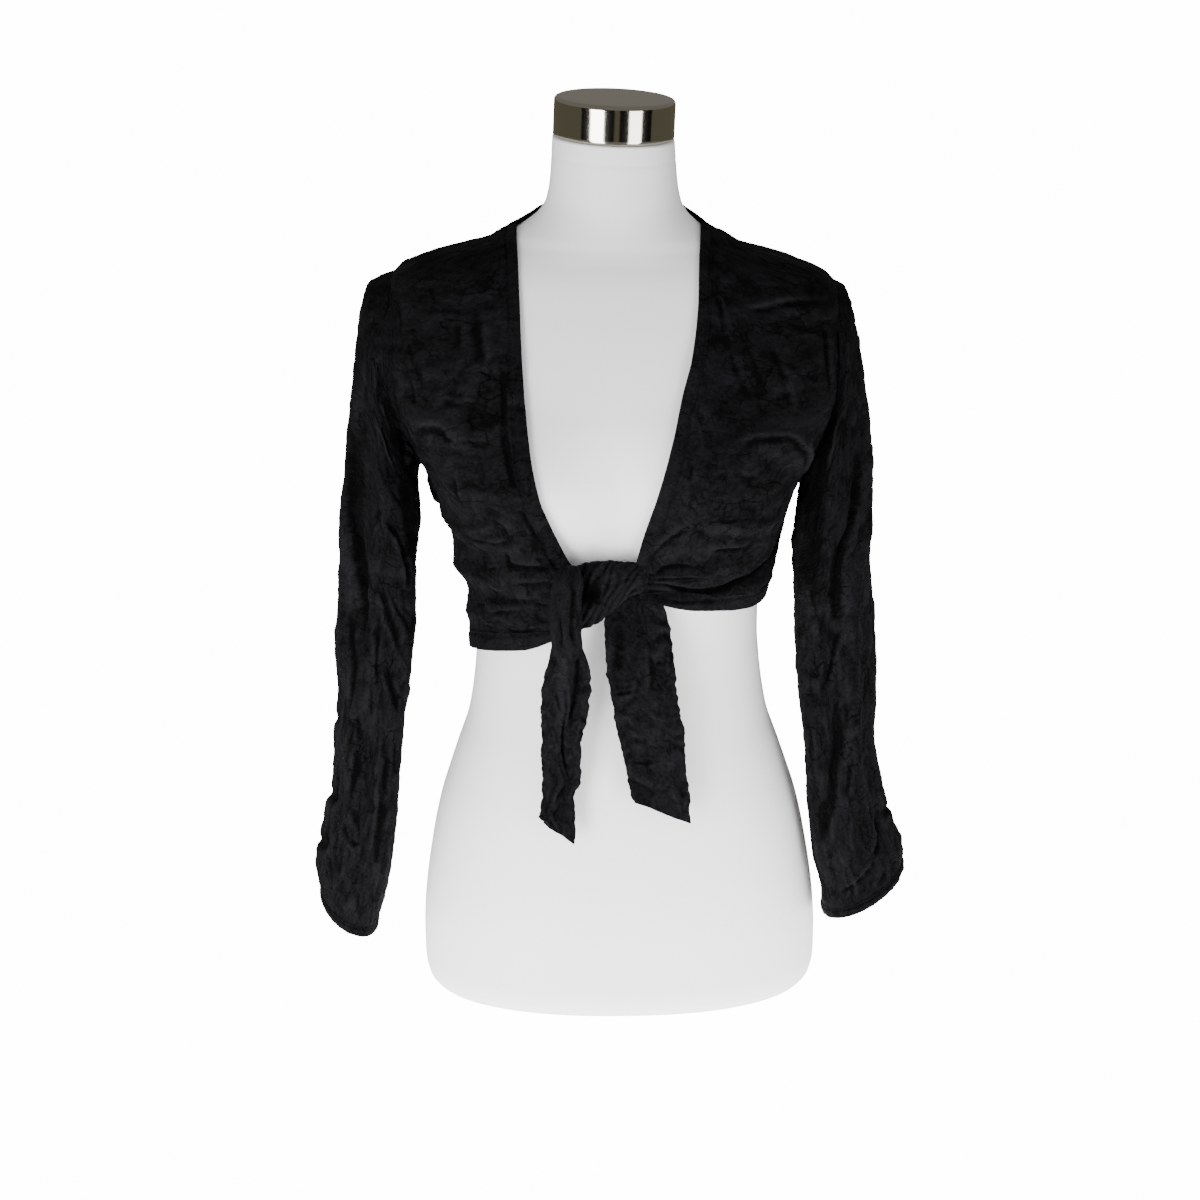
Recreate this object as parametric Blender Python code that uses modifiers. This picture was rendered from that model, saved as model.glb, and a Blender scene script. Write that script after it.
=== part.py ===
"""Knitted tie-front shrug on a limbless dress form.

The shrug is built from the pieces that are cut and sewn: back, two fronts, two sleeves, bands,
hems, the knot and its two free ends. Every piece of cloth is a thin wall that follows the form.
Sizes are in metres, angles in degrees. The form faces -Y and +X is the wearer's left.
A place on the body is given by its angle round from the middle of the front towards +X,
and by its level, the height of the form's ring there.
"""

import math
from typing import NamedTuple

import bmesh
import bpy
import numpy as np
from mathutils import Vector

# Placing of the form's axis, so that the whole object is centred on the origin.
AXIS_X = 0.0076
AXIS_Y = 0.0126

# Seams and walls.
SEAM_GAP = 0.0003
ARMHOLE_GAP = 0.00045
WALL = 0.0016
BAND_PROUD = 0.0006
LEAST_LIFT = 0.0024
MEAN_RADIUS = 0.13
SLEEVE_RADIUS = 0.046
FOLD_TAPER = 0.20
EDGE_GAP = 0.0007
FOOT_GAP = 0.0030
SEAM_ANGLE = math.degrees(SEAM_GAP / 2 / MEAN_RADIUS)

# The form leans: its shoulders and neck slope down to +X, and its neck nods to the front.
SHOULDER_SLOPE = 0.026
NECK_SLOPE = 0.049
NECK_NOD = 0.075
SHOULDER_LEAN_LEVELS = (0.42, 0.62)
NECK_LEAN_LEVELS = (0.63, 0.715)
NECK_NOD_LEVELS = (0.665, 0.72)
NECK_MIDDLE_Y = 0.0095
NECK_TOP = 0.7235
CAP_RADIUS = 0.0496
CAP_HEIGHT = 0.0315
CAP_EDGE = 0.0035
CAP_EDGE_STEPS = 4

# Bust of the form.
BUST_X = 0.078
BUST_LEVEL = 0.452
BUST_HEIGHT = 0.026
BUST_SPREAD_X = 0.052
BUST_SPREAD_LEVEL = 0.050
BUST_FRONT_SHARE = 0.5

# Where the fronts lift off the form to meet the knot.
KNOT_X = -0.012
KNOT_LEVEL = 0.372
KNOT_LIFT = 0.0160
KNOT_SPREAD_X = 0.058
KNOT_SPREAD_LEVEL = 0.034
KNOT_FRONT_SHARE = (0.3, 0.7)

# Folds of the body fade out towards the neck.
FOLDS_TOP = 0.66
FOLDS_FADE = 0.06

# Armhole, as an oval round the side of the body.
ARMHOLE_FRONT = 14.5
ARMHOLE_BACK = 15.5

# Steps over which the form's slope is measured.
NORMAL_TURN = 0.5
NORMAL_RISE = 0.0015

# How finely each piece is divided.
FORM_AROUND = 32
FORM_BODY_ROWS = 19
FORM_BODY_LEVELS = (0.05, 0.59)
SLEEVE_AROUND = 24
SLEEVE_ROWS = 27
FRONT_COLUMNS = 12
BACK_COLUMNS = 18
BELOW_ARMHOLE = 8
ABOVE_ARMHOLE = 6
BAND_ROWS = 27
EDGE_SAMPLES = 400
SHARP_ANGLE = 50

HEM_WIDTH = 0.015
HEM_WIDTH_AT_KNOT = 0.007
HEM_WIDENS_BY = 0.3
NECK_BAND_HEIGHT = 0.012
CUFF_WIDTH = 0.007
CUFF_BULGE = 0.0004


class FormRing(NamedTuple):
    """A level ring of the dress form."""

    level: float
    half_width: float
    front: float
    back: float
    square: float


FORM_RINGS = (
    FormRing(0.0000, 0.1500, 0.0960, 0.0980, 2.3),
    FormRing(0.0040, 0.1580, 0.1035, 0.1055, 2.3),
    FormRing(0.0120, 0.1645, 0.1095, 0.1120, 2.3),
    FormRing(0.0260, 0.1675, 0.1120, 0.1155, 2.3),
    FormRing(0.0500, 0.1680, 0.1120, 0.1170, 2.3),
    FormRing(0.0730, 0.1671, 0.1125, 0.1185, 2.3),
    FormRing(0.1020, 0.1640, 0.1120, 0.1190, 2.3),
    FormRing(0.1250, 0.1604, 0.1105, 0.1180, 2.3),
    FormRing(0.1480, 0.1562, 0.1085, 0.1155, 2.3),
    FormRing(0.1720, 0.1504, 0.1060, 0.1115, 2.3),
    FormRing(0.1940, 0.1433, 0.1030, 0.1060, 2.3),
    FormRing(0.2170, 0.1355, 0.1000, 0.0995, 2.3),
    FormRing(0.2430, 0.1265, 0.0970, 0.0925, 2.3),
    FormRing(0.2680, 0.1220, 0.0945, 0.0870, 2.3),
    FormRing(0.2900, 0.1195, 0.0930, 0.0840, 2.3),
    FormRing(0.3140, 0.1180, 0.0935, 0.0830, 2.3),
    FormRing(0.3400, 0.1185, 0.0960, 0.0840, 2.3),
    FormRing(0.3650, 0.1225, 0.1000, 0.0870, 2.35),
    FormRing(0.3900, 0.1280, 0.1050, 0.0910, 2.4),
    FormRing(0.4150, 0.1345, 0.1100, 0.0960, 2.5),
    FormRing(0.4400, 0.1430, 0.1135, 0.1010, 2.6),
    FormRing(0.4600, 0.1520, 0.1150, 0.1045, 2.75),
    FormRing(0.4800, 0.1620, 0.1150, 0.1070, 2.9),
    FormRing(0.5000, 0.1700, 0.1135, 0.1085, 3.1),
    FormRing(0.5200, 0.1755, 0.1085, 0.1090, 3.2),
    FormRing(0.5450, 0.1790, 0.1005, 0.1090, 3.2),
    FormRing(0.5750, 0.1800, 0.0885, 0.1060, 3.0),
    FormRing(0.5970, 0.1810, 0.0780, 0.1010, 2.8),
    FormRing(0.6060, 0.1800, 0.0735, 0.0985, 2.7),
    FormRing(0.6140, 0.1745, 0.0690, 0.0960, 2.6),
    FormRing(0.6210, 0.1600, 0.0645, 0.0930, 2.5),
    FormRing(0.6275, 0.1390, 0.0600, 0.0890, 2.4),
    FormRing(0.6325, 0.1200, 0.0570, 0.0860, 2.35),
    FormRing(0.6370, 0.1046, 0.0545, 0.0835, 2.3),
    FormRing(0.6445, 0.0913, 0.0515, 0.0795, 2.2),
    FormRing(0.6500, 0.0793, 0.0495, 0.0765, 2.15),
    FormRing(0.6570, 0.0680, 0.0475, 0.0730, 2.1),
    FormRing(0.6640, 0.0605, 0.0460, 0.0700, 2.05),
    FormRing(0.6730, 0.0553, 0.0450, 0.0670, 2.0),
    FormRing(0.6900, 0.0520, 0.0435, 0.0635, 2.0),
    FormRing(0.7235, 0.0497, 0.0415, 0.0605, 2.0),
)


class Ease(NamedTuple):
    """How far the cloth's outer side stands off the form at a level."""

    level: float
    front: float
    side: float
    back: float


EASES = (
    Ease(0.290, 0.0080, 0.0050, 0.0060),
    Ease(0.320, 0.0095, 0.0065, 0.0070),
    Ease(0.350, 0.0095, 0.0060, 0.0080),
    Ease(0.375, 0.0080, 0.0090, 0.0080),
    Ease(0.400, 0.0060, 0.0080, 0.0070),
    Ease(0.430, 0.0045, 0.0065, 0.0060),
    Ease(0.460, 0.0040, 0.0070, 0.0055),
    Ease(0.500, 0.0038, 0.0070, 0.0050),
    Ease(0.560, 0.0038, 0.0055, 0.0045),
    Ease(0.600, 0.0034, 0.0046, 0.0044),
    Ease(0.620, 0.0032, 0.0034, 0.0040),
    Ease(0.640, 0.0034, 0.0036, 0.0040),
    Ease(0.690, 0.0034, 0.0036, 0.0042),
)


class EdgeRow(NamedTuple):
    """The front edge at a level: its distance from the middle and the width of its band."""

    level: float
    edge: float
    band: float


FRONT_EDGES = {
    "right": (
        EdgeRow(0.388, 0.0350, 0.0140),
        EdgeRow(0.397, 0.0385, 0.0140),
        EdgeRow(0.406, 0.0447, 0.0140),
        EdgeRow(0.421, 0.0507, 0.0135),
        EdgeRow(0.437, 0.0559, 0.0130),
        EdgeRow(0.454, 0.0608, 0.0125),
        EdgeRow(0.478, 0.0660, 0.0120),
        EdgeRow(0.503, 0.0692, 0.0115),
        EdgeRow(0.530, 0.0717, 0.0110),
        EdgeRow(0.560, 0.0736, 0.0105),
        EdgeRow(0.600, 0.0754, 0.0100),
        EdgeRow(0.630, 0.0770, 0.0100),
        EdgeRow(0.655, 0.0785, 0.0100),
    ),
    "left": (
        EdgeRow(0.381, 0.0134, 0.0120),
        EdgeRow(0.396, 0.0170, 0.0120),
        EdgeRow(0.406, 0.0205, 0.0120),
        EdgeRow(0.421, 0.0255, 0.0120),
        EdgeRow(0.437, 0.0312, 0.0120),
        EdgeRow(0.454, 0.0372, 0.0115),
        EdgeRow(0.478, 0.0440, 0.0115),
        EdgeRow(0.503, 0.0496, 0.0110),
        EdgeRow(0.530, 0.0546, 0.0110),
        EdgeRow(0.560, 0.0610, 0.0105),
        EdgeRow(0.600, 0.0662, 0.0100),
        EdgeRow(0.630, 0.0675, 0.0100),
        EdgeRow(0.655, 0.0690, 0.0100),
    ),
}


class FrontRow(NamedTuple):
    """A row of a front panel: its level at the side and the level that it has at the front edge."""

    level: float
    inner_level: float


FRONT_ROWS = {
    "right": (
        FrontRow(0.3153, 0.3400),
        FrontRow(0.3400, 0.3530),
        FrontRow(0.3650, 0.3660),
        FrontRow(0.3900, 0.3860),
        FrontRow(0.4100, 0.4020),
        FrontRow(0.4550, 0.4480),
        FrontRow(0.5000, 0.5000),
        FrontRow(0.6600, 0.6600),
    ),
    "left": (
        FrontRow(0.3583, 0.3755),
        FrontRow(0.3700, 0.3800),
        FrontRow(0.3850, 0.3850),
        FrontRow(0.4000, 0.3945),
        FrontRow(0.4150, 0.4080),
        FrontRow(0.4400, 0.4340),
        FrontRow(0.4900, 0.4900),
        FrontRow(0.6600, 0.6600),
    ),
}


class SideSizes(NamedTuple):
    """What differs between the two halves of the garment."""

    sign: float
    hem_side: float
    hem_share: float
    knot_edge: float
    knot_level: float
    armpit: float
    shoulder_tip: float


SIDES = {
    "right": SideSizes(-1.0, 0.2980, 1.00, 0.0395, 0.3640, 0.4550, 0.6110),
    "left": SideSizes(1.0, 0.3450, 0.28, 0.0130, 0.3730, 0.4360, 0.6100),
}
NECK_BACK_LEVEL = 0.6700
NECK_ARCH = 0.8
SHOULDER_LEVEL = 0.6000
HEM_SWEEP_LEVEL = 0.42
HEM_SWEEP_FADE = 0.05


class Fold(NamedTuple):
    """A soft ridge, or a trough where its height is below zero, from one place to another.

    On the body a place is an angle and a level. On a sleeve it is an angle that runs from the
    outer side, 0, over the front, 90, and a distance down from the armhole.
    """

    angle: float
    place: float
    to_angle: float
    to_place: float
    width: float
    height: float


BODY_FOLDS = (
    # Right front.
    Fold(-41, 0.560, -37, 0.500, 0.0070, 0.0030),
    Fold(-33, 0.590, -33, 0.535, 0.0065, -0.0020),
    Fold(-62, 0.503, -47, 0.492, 0.0080, 0.0035),
    Fold(-72, 0.500, -66, 0.462, 0.0070, -0.0025),
    Fold(-60, 0.470, -52, 0.438, 0.0080, 0.0030),
    Fold(-80, 0.425, -52, 0.418, 0.0085, 0.0045),
    Fold(-78, 0.402, -40, 0.400, 0.0060, -0.0030),
    Fold(-85, 0.378, -35, 0.384, 0.0085, 0.0045),
    Fold(-82, 0.356, -28, 0.368, 0.0065, -0.0035),
    Fold(-85, 0.334, -40, 0.348, 0.0085, 0.0040),
    # Left front.
    Fold(46, 0.497, 62, 0.490, 0.0080, 0.0040),
    Fold(62, 0.490, 70, 0.462, 0.0080, 0.0035),
    Fold(50, 0.478, 60, 0.468, 0.0070, -0.0030),
    Fold(30, 0.560, 38, 0.505, 0.0080, 0.0028),
    Fold(50, 0.600, 58, 0.555, 0.0080, -0.0022),
    Fold(13, 0.388, 48, 0.396, 0.0075, 0.0040),
    Fold(14, 0.376, 60, 0.378, 0.0060, -0.0040),
    Fold(60, 0.378, 78, 0.395, 0.0070, -0.0030),
    Fold(20, 0.366, 75, 0.364, 0.0080, 0.0030),
    Fold(40, 0.430, 72, 0.425, 0.0080, 0.0030),
    # Back.
    Fold(105, 0.425, 150, 0.405, 0.0085, 0.0040),
    Fold(110, 0.395, 165, 0.380, 0.0080, 0.0038),
    Fold(255, 0.430, 205, 0.400, 0.0085, 0.0040),
    Fold(250, 0.385, 200, 0.370, 0.0080, 0.0036),
    Fold(130, 0.350, 225, 0.345, 0.0085, 0.0034),
    Fold(120, 0.520, 138, 0.460, 0.0090, 0.0036),
    Fold(240, 0.530, 222, 0.465, 0.0090, 0.0036),
    Fold(160, 0.560, 166, 0.480, 0.0090, 0.0026),
    Fold(200, 0.600, 196, 0.530, 0.0090, 0.0026),
)


class SleeveSection(NamedTuple):
    """A section across a sleeve, with its outer and inner ends measured from the form's axis."""

    down: float
    outer: float
    outer_level: float
    inner: float
    inner_level: float
    middle_y: float
    half_depth: float
    turn: float
    cap: float


SLEEVE_SECTIONS = {
    "right": (
        SleeveSection(0.000, 0.1870, 0.6074, 0.1560, 0.4550, 0.0060, 0.0500, 0.0000, 0.0000),
        SleeveSection(0.012, 0.1955, 0.6025, 0.1580, 0.4585, 0.0055, 0.0530, 0.0005, 0.0030),
        SleeveSection(0.025, 0.2040, 0.5965, 0.1605, 0.4580, 0.0050, 0.0550, 0.0010, 0.0050),
        SleeveSection(0.042, 0.2085, 0.5830, 0.1630, 0.4545, 0.0040, 0.0570, 0.0030, 0.0060),
        SleeveSection(0.065, 0.2118, 0.5600, 0.1648, 0.4470, 0.0030, 0.0570, 0.0060, 0.0050),
        SleeveSection(0.095, 0.2145, 0.5270, 0.1650, 0.4350, 0.0020, 0.0570, 0.0100, 0.0030),
        SleeveSection(0.125, 0.2190, 0.4980, 0.1642, 0.4200, 0.0000, 0.0565, 0.0140, 0.0000),
        SleeveSection(0.160, 0.2228, 0.4620, 0.1650, 0.4030, -0.0020, 0.0550, 0.0180, 0.0000),
        SleeveSection(0.200, 0.2290, 0.4250, 0.1680, 0.3880, -0.0040, 0.0525, 0.0200, 0.0000),
        SleeveSection(0.240, 0.2318, 0.3780, 0.1695, 0.3640, -0.0060, 0.0505, 0.0200, 0.0000),
        SleeveSection(0.280, 0.2345, 0.3400, 0.1697, 0.3350, -0.0070, 0.0485, 0.0200, 0.0000),
        SleeveSection(0.320, 0.2385, 0.3000, 0.1730, 0.2990, -0.0080, 0.0470, 0.0190, 0.0000),
        SleeveSection(0.360, 0.2370, 0.2600, 0.1795, 0.2600, -0.0085, 0.0460, 0.0180, 0.0000),
        SleeveSection(0.400, 0.2415, 0.2200, 0.1840, 0.2200, -0.0090, 0.0460, 0.0180, 0.0000),
        SleeveSection(0.440, 0.2452, 0.1800, 0.1878, 0.1800, -0.0095, 0.0468, 0.0180, 0.0000),
        SleeveSection(0.470, 0.2530, 0.1520, 0.1915, 0.1510, -0.0100, 0.0478, 0.0180, 0.0000),
        SleeveSection(0.500, 0.2590, 0.1250, 0.1940, 0.1220, -0.0100, 0.0488, 0.0190, 0.0000),
        SleeveSection(0.530, 0.2602, 0.1030, 0.2010, 0.0910, -0.0100, 0.0492, 0.0200, 0.0000),
        SleeveSection(0.557, 0.2570, 0.0810, 0.2080, 0.0640, -0.0100, 0.0492, 0.0210, 0.0000),
    ),
    "left": (
        SleeveSection(0.000, 0.1870, 0.6080, 0.1440, 0.4350, 0.0060, 0.0500, 0.0000, 0.0000),
        SleeveSection(0.012, 0.1915, 0.6065, 0.1465, 0.4395, 0.0055, 0.0530, 0.0005, 0.0030),
        SleeveSection(0.025, 0.1940, 0.6005, 0.1482, 0.4390, 0.0050, 0.0550, 0.0010, 0.0050),
        SleeveSection(0.042, 0.1960, 0.5875, 0.1495, 0.4350, 0.0040, 0.0570, 0.0030, 0.0060),
        SleeveSection(0.065, 0.1985, 0.5640, 0.1500, 0.4260, 0.0030, 0.0570, 0.0060, 0.0050),
        SleeveSection(0.095, 0.2027, 0.5320, 0.1500, 0.4130, 0.0020, 0.0570, 0.0100, 0.0030),
        SleeveSection(0.125, 0.2077, 0.5030, 0.1478, 0.4000, 0.0000, 0.0565, 0.0140, 0.0000),
        SleeveSection(0.160, 0.2120, 0.4620, 0.1470, 0.3850, -0.0020, 0.0550, 0.0180, 0.0000),
        SleeveSection(0.200, 0.2122, 0.4150, 0.1475, 0.3700, -0.0040, 0.0525, 0.0200, 0.0000),
        SleeveSection(0.240, 0.2125, 0.3770, 0.1486, 0.3520, -0.0060, 0.0505, 0.0200, 0.0000),
        SleeveSection(0.280, 0.2150, 0.3380, 0.1487, 0.3270, -0.0070, 0.0485, 0.0200, 0.0000),
        SleeveSection(0.320, 0.2178, 0.2990, 0.1503, 0.2950, -0.0080, 0.0470, 0.0190, 0.0000),
        SleeveSection(0.360, 0.2185, 0.2600, 0.1535, 0.2600, -0.0085, 0.0460, 0.0180, 0.0000),
        SleeveSection(0.400, 0.2180, 0.2210, 0.1585, 0.2200, -0.0090, 0.0460, 0.0180, 0.0000),
        SleeveSection(0.440, 0.2245, 0.1840, 0.1612, 0.1800, -0.0095, 0.0468, 0.0180, 0.0000),
        SleeveSection(0.470, 0.2325, 0.1580, 0.1632, 0.1500, -0.0100, 0.0478, 0.0190, 0.0000),
        SleeveSection(0.500, 0.2400, 0.1330, 0.1665, 0.1210, -0.0100, 0.0488, 0.0200, 0.0000),
        SleeveSection(0.525, 0.2450, 0.1150, 0.1720, 0.0980, -0.0100, 0.0495, 0.0210, 0.0000),
        SleeveSection(0.547, 0.2440, 0.1010, 0.1750, 0.0770, -0.0100, 0.0500, 0.0220, 0.0000),
    ),
}


SLEEVE_FOLDS = {
    "right": (
        Fold(40, 0.060, 50, 0.330, 0.0104, -0.0065),
        Fold(62, 0.080, 78, 0.300, 0.0096, 0.0045),
        Fold(95, 0.120, 125, 0.240, 0.0104, -0.0055),
        Fold(20, 0.300, 35, 0.520, 0.0112, 0.0040),
        Fold(70, 0.310, 80, 0.470, 0.0104, -0.0060),
        Fold(112, 0.290, 95, 0.450, 0.0104, 0.0045),
        Fold(150, 0.140, 150, 0.500, 0.0120, -0.0050),
        Fold(200, 0.120, 215, 0.420, 0.0112, 0.0050),
        Fold(250, 0.090, 240, 0.380, 0.0112, -0.0055),
        Fold(290, 0.150, 300, 0.500, 0.0112, 0.0050),
        Fold(330, 0.080, 325, 0.340, 0.0112, -0.0050),
    ),
    "left": (
        Fold(35, 0.060, 42, 0.200, 0.0104, -0.0060),
        Fold(42, 0.200, 72, 0.290, 0.0104, -0.0070),
        Fold(72, 0.290, 76, 0.480, 0.0112, -0.0055),
        Fold(48, 0.250, 50, 0.500, 0.0120, 0.0045),
        Fold(100, 0.160, 105, 0.420, 0.0112, 0.0045),
        Fold(140, 0.140, 145, 0.480, 0.0120, -0.0050),
        Fold(195, 0.120, 205, 0.420, 0.0112, 0.0050),
        Fold(245, 0.100, 240, 0.400, 0.0112, -0.0055),
        Fold(288, 0.150, 296, 0.500, 0.0112, 0.0050),
        Fold(325, 0.090, 320, 0.360, 0.0112, -0.0050),
    ),
}
SLEEVE_SEAM_FADE = 0.130
SLEEVE_CLEARANCE = 0.0008
HEAD_ROWS = (0.0, 0.009)
HEAD_RISE_END = 0.010
HEAD_SHRINK = 0.0020
HEAD_LIFT = 0.0020


class TailRow(NamedTuple):
    """A row across a free end of the tie, from its +X-most end back to its -X-most end."""

    down: float
    left_x: float
    left_level: float
    right_x: float
    right_level: float
    y: float
    groove: float


TAIL_ROWS = {
    "right": (
        TailRow(0.000, -0.0525, 0.3328, -0.0285, 0.3328, -0.1322, 0.0040),
        TailRow(0.017, -0.0560, 0.3165, -0.0232, 0.3165, -0.1305, 0.0090),
        TailRow(0.030, -0.0598, 0.3040, -0.0215, 0.3040, -0.1285, 0.0120),
        TailRow(0.055, -0.0620, 0.2790, -0.0230, 0.2790, -0.1275, 0.0130),
        TailRow(0.080, -0.0618, 0.2540, -0.0285, 0.2540, -0.1265, 0.0120),
        TailRow(0.095, -0.0630, 0.2400, -0.0300, 0.2400, -0.1260, 0.0105),
        TailRow(0.118, -0.0618, 0.2150, -0.0305, 0.2160, -0.1255, 0.0090),
        TailRow(0.132, -0.0628, 0.2010, -0.0362, 0.2020, -0.1250, 0.0070),
        TailRow(0.147, -0.0645, 0.1870, -0.0350, 0.1850, -0.1250, 0.0050),
        TailRow(0.163, -0.0610, 0.1800, -0.0362, 0.1620, -0.1250, 0.0030),
    ),
    "left": (
        TailRow(0.000, -0.0060, 0.3700, 0.0330, 0.3700, -0.1055, 0.0020),
        TailRow(0.018, -0.0090, 0.3520, 0.0400, 0.3520, -0.1065, 0.0025),
        TailRow(0.028, -0.0105, 0.3420, 0.0425, 0.3420, -0.1095, 0.0060),
        TailRow(0.040, -0.0100, 0.3300, 0.0440, 0.3300, -0.1150, 0.0090),
        TailRow(0.058, -0.0092, 0.3120, 0.0462, 0.3120, -0.1185, 0.0095),
        TailRow(0.088, -0.0046, 0.2820, 0.0488, 0.2820, -0.1205, 0.0085),
        TailRow(0.115, -0.0005, 0.2550, 0.0540, 0.2550, -0.1210, 0.0070),
        TailRow(0.142, 0.0058, 0.2290, 0.0552, 0.2270, -0.1210, 0.0055),
        TailRow(0.165, 0.0088, 0.2090, 0.0580, 0.2030, -0.1210, 0.0045),
        TailRow(0.184, 0.0125, 0.1960, 0.0590, 0.1780, -0.1210, 0.0035),
    ),
}
TAIL_GROOVES = {"right": 0.60, "left": 0.27}
TAIL_GROOVE_WIDTH = 0.17
TAIL_EDGE_CURL = 0.35
TAIL_COLUMNS = 9
TAIL_STEPS = 15


class KnotSection(NamedTuple):
    """An oval section of a knotted piece: its place along the piece, middle and half sizes."""

    along: float
    across: float
    y: float
    half_across: float
    half_depth: float


WRAP_SECTIONS = (
    KnotSection(-0.0338, 0.3685, -0.1205, 0.0255, 0.0072),
    KnotSection(-0.0290, 0.3700, -0.1208, 0.0266, 0.0080),
    KnotSection(-0.0230, 0.3720, -0.1210, 0.0265, 0.0085),
    KnotSection(-0.0120, 0.3757, -0.1215, 0.0240, 0.0090),
    KnotSection(-0.0020, 0.3800, -0.1215, 0.0190, 0.0085),
    KnotSection(0.0064, 0.3835, -0.1210, 0.0150, 0.0078),
    KnotSection(0.0131, 0.3855, -0.1205, 0.0122, 0.0068),
)
STRAND_SECTIONS = (
    KnotSection(0.3335, -0.0405, -0.1322, 0.0118, 0.0055),
    KnotSection(0.3430, -0.0408, -0.1342, 0.0124, 0.0064),
    KnotSection(0.3560, -0.0412, -0.1355, 0.0130, 0.0070),
    KnotSection(0.3700, -0.0405, -0.1357, 0.0130, 0.0072),
    KnotSection(0.3840, -0.0390, -0.1355, 0.0122, 0.0070),
    KnotSection(0.3925, -0.0380, -0.1345, 0.0105, 0.0058),
    KnotSection(0.3985, -0.0370, -0.1327, 0.0070, 0.0040),
)
KNOT_AROUND = 18
KNOT_STEPS = 11
KNOT_PLEATS = 5
KNOT_PLEAT_DEPTH = 0.0011

WHITE_SHELL = ("white_shell", (0.83, 0.83, 0.84), 0.42, 0.0)
BRIGHT_METAL = ("bright_metal", (0.62, 0.60, 0.57), 0.16, 1.0)
BLACK_KNIT = ("black_knit", (0.010, 0.010, 0.012), 0.85, 0.0)


def smooth(rows, column, at):
    """A column of a table at any value of its first column, on a curve that never overshoots."""
    knots = np.array([row[0] for row in rows])
    values = np.array([getattr(row, column) for row in rows])
    slopes = np.diff(values) / np.diff(knots)
    before, after = slopes[:-1], slopes[1:]
    level = before * after <= 0
    middle = np.where(level, 0.0, 2 * before * after / np.where(level, 1.0, before + after))
    tangents = np.concatenate([slopes[:1], middle, slopes[-1:]])
    at = np.clip(np.asarray(at, float), knots[0], knots[-1])
    index = np.clip(np.searchsorted(knots, at, side="right") - 1, 0, len(knots) - 2)
    width = knots[index + 1] - knots[index]
    t = (at - knots[index]) / width
    start = values[index] * (1 + 2 * t) * (1 - t) ** 2 + tangents[index] * width * t * (1 - t) ** 2
    return start + values[index + 1] * t * t * (3 - 2 * t) + tangents[index + 1] * width * t * t * (t - 1)


def step_up(value, start, end):
    """0 before start, 1 after end, and a soft S between them."""
    t = np.clip((value - start) / (end - start), 0.0, 1.0)
    return t * t * (3 - 2 * t)


def placed(points):
    """Points of the upright form, leaned as it stands and moved to its axis."""
    x, y, z = points[..., 0], points[..., 1], points[..., 2]
    slope = SHOULDER_SLOPE * step_up(z, *SHOULDER_LEAN_LEVELS)
    slope = slope + (NECK_SLOPE - SHOULDER_SLOPE) * step_up(z, *NECK_LEAN_LEVELS)
    nod = NECK_NOD * step_up(z, *NECK_NOD_LEVELS)
    leaned = z - x * slope + (y - NECK_MIDDLE_Y) * nod
    return np.stack([x + AXIS_X, y + AXIS_Y, leaned], axis=-1)


def form_point(angle, level):
    """Points of the dress form's surface."""
    turn = np.radians(angle)
    across, ahead = np.sin(turn), np.cos(turn)
    depth = np.where(ahead > 0, smooth(FORM_RINGS, "front", level), smooth(FORM_RINGS, "back", level))
    half = smooth(FORM_RINGS, "half_width", level)
    square = smooth(FORM_RINGS, "square", level)
    reach = ((np.abs(across) / half) ** square + (np.abs(ahead) / depth) ** square) ** (-1 / square)
    x = reach * across
    spread = ((np.abs(x) - BUST_X) / BUST_SPREAD_X) ** 2 + ((level - BUST_LEVEL) / BUST_SPREAD_LEVEL) ** 2
    bust = BUST_HEIGHT * np.exp(-spread) * step_up(ahead, 0.0, BUST_FRONT_SHARE)
    return np.stack([x, -reach * ahead - bust, level + 0 * x], axis=-1)


def form_normal(angle, level):
    """Unit vectors straight out of the dress form."""
    around = form_point(angle + NORMAL_TURN, level) - form_point(angle - NORMAL_TURN, level)
    upward = form_point(angle, level + NORMAL_RISE) - form_point(angle, level - NORMAL_RISE)
    normal = np.cross(around, upward)
    return normal / np.linalg.norm(normal, axis=-1, keepdims=True)


def fold_height(folds, angle, place, radius):
    """Summed height of folds at places given by an angle, at a radius, and a level or a distance."""
    scale = math.radians(radius)
    total = 0.0 * (angle + place)
    for fold in folds:
        across = ((fold.to_angle - fold.angle + 180) % 360 - 180) * scale
        up = fold.to_place - fold.place
        aside = ((angle - fold.angle + 180) % 360 - 180) * scale
        rise = place - fold.place
        length = math.hypot(across, up)
        along = (aside * across + rise * up) / length**2
        off = (aside * up - rise * across) / length
        ends = step_up(along, -FOLD_TAPER, FOLD_TAPER) * step_up(1 - along, -FOLD_TAPER, FOLD_TAPER)
        total = total + fold.height * ends * np.exp(-((off / fold.width) ** 2))
    return total


def cloth_lift(angle, level):
    """How far the cloth's outer side stands off the form."""
    turn = np.radians(angle)
    ahead = np.cos(turn)
    middle = np.where(ahead > 0, smooth(EASES, "front", level), smooth(EASES, "back", level))
    ease = smooth(EASES, "side", level) * np.sin(turn) ** 2 + middle * ahead**2
    folds = fold_height(BODY_FOLDS, angle, level, MEAN_RADIUS)
    folds = folds * step_up(FOLDS_TOP - level, 0.0, FOLDS_FADE)
    x = form_point(angle, level)[..., 0]
    spread = ((x - KNOT_X) / KNOT_SPREAD_X) ** 2 + ((level - KNOT_LEVEL) / KNOT_SPREAD_LEVEL) ** 2
    knot = KNOT_LIFT * np.exp(-spread) * step_up(ahead, *KNOT_FRONT_SHARE)
    return np.maximum(ease + folds, LEAST_LIFT) + knot


def cloth_point(angle, level, sunk=0.0):
    """Points of the cloth on the body, or as deep below its outer side as asked."""
    lift = cloth_lift(angle, level) - sunk
    return form_point(angle, level) + form_normal(angle, level) * lift[..., None]


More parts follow.
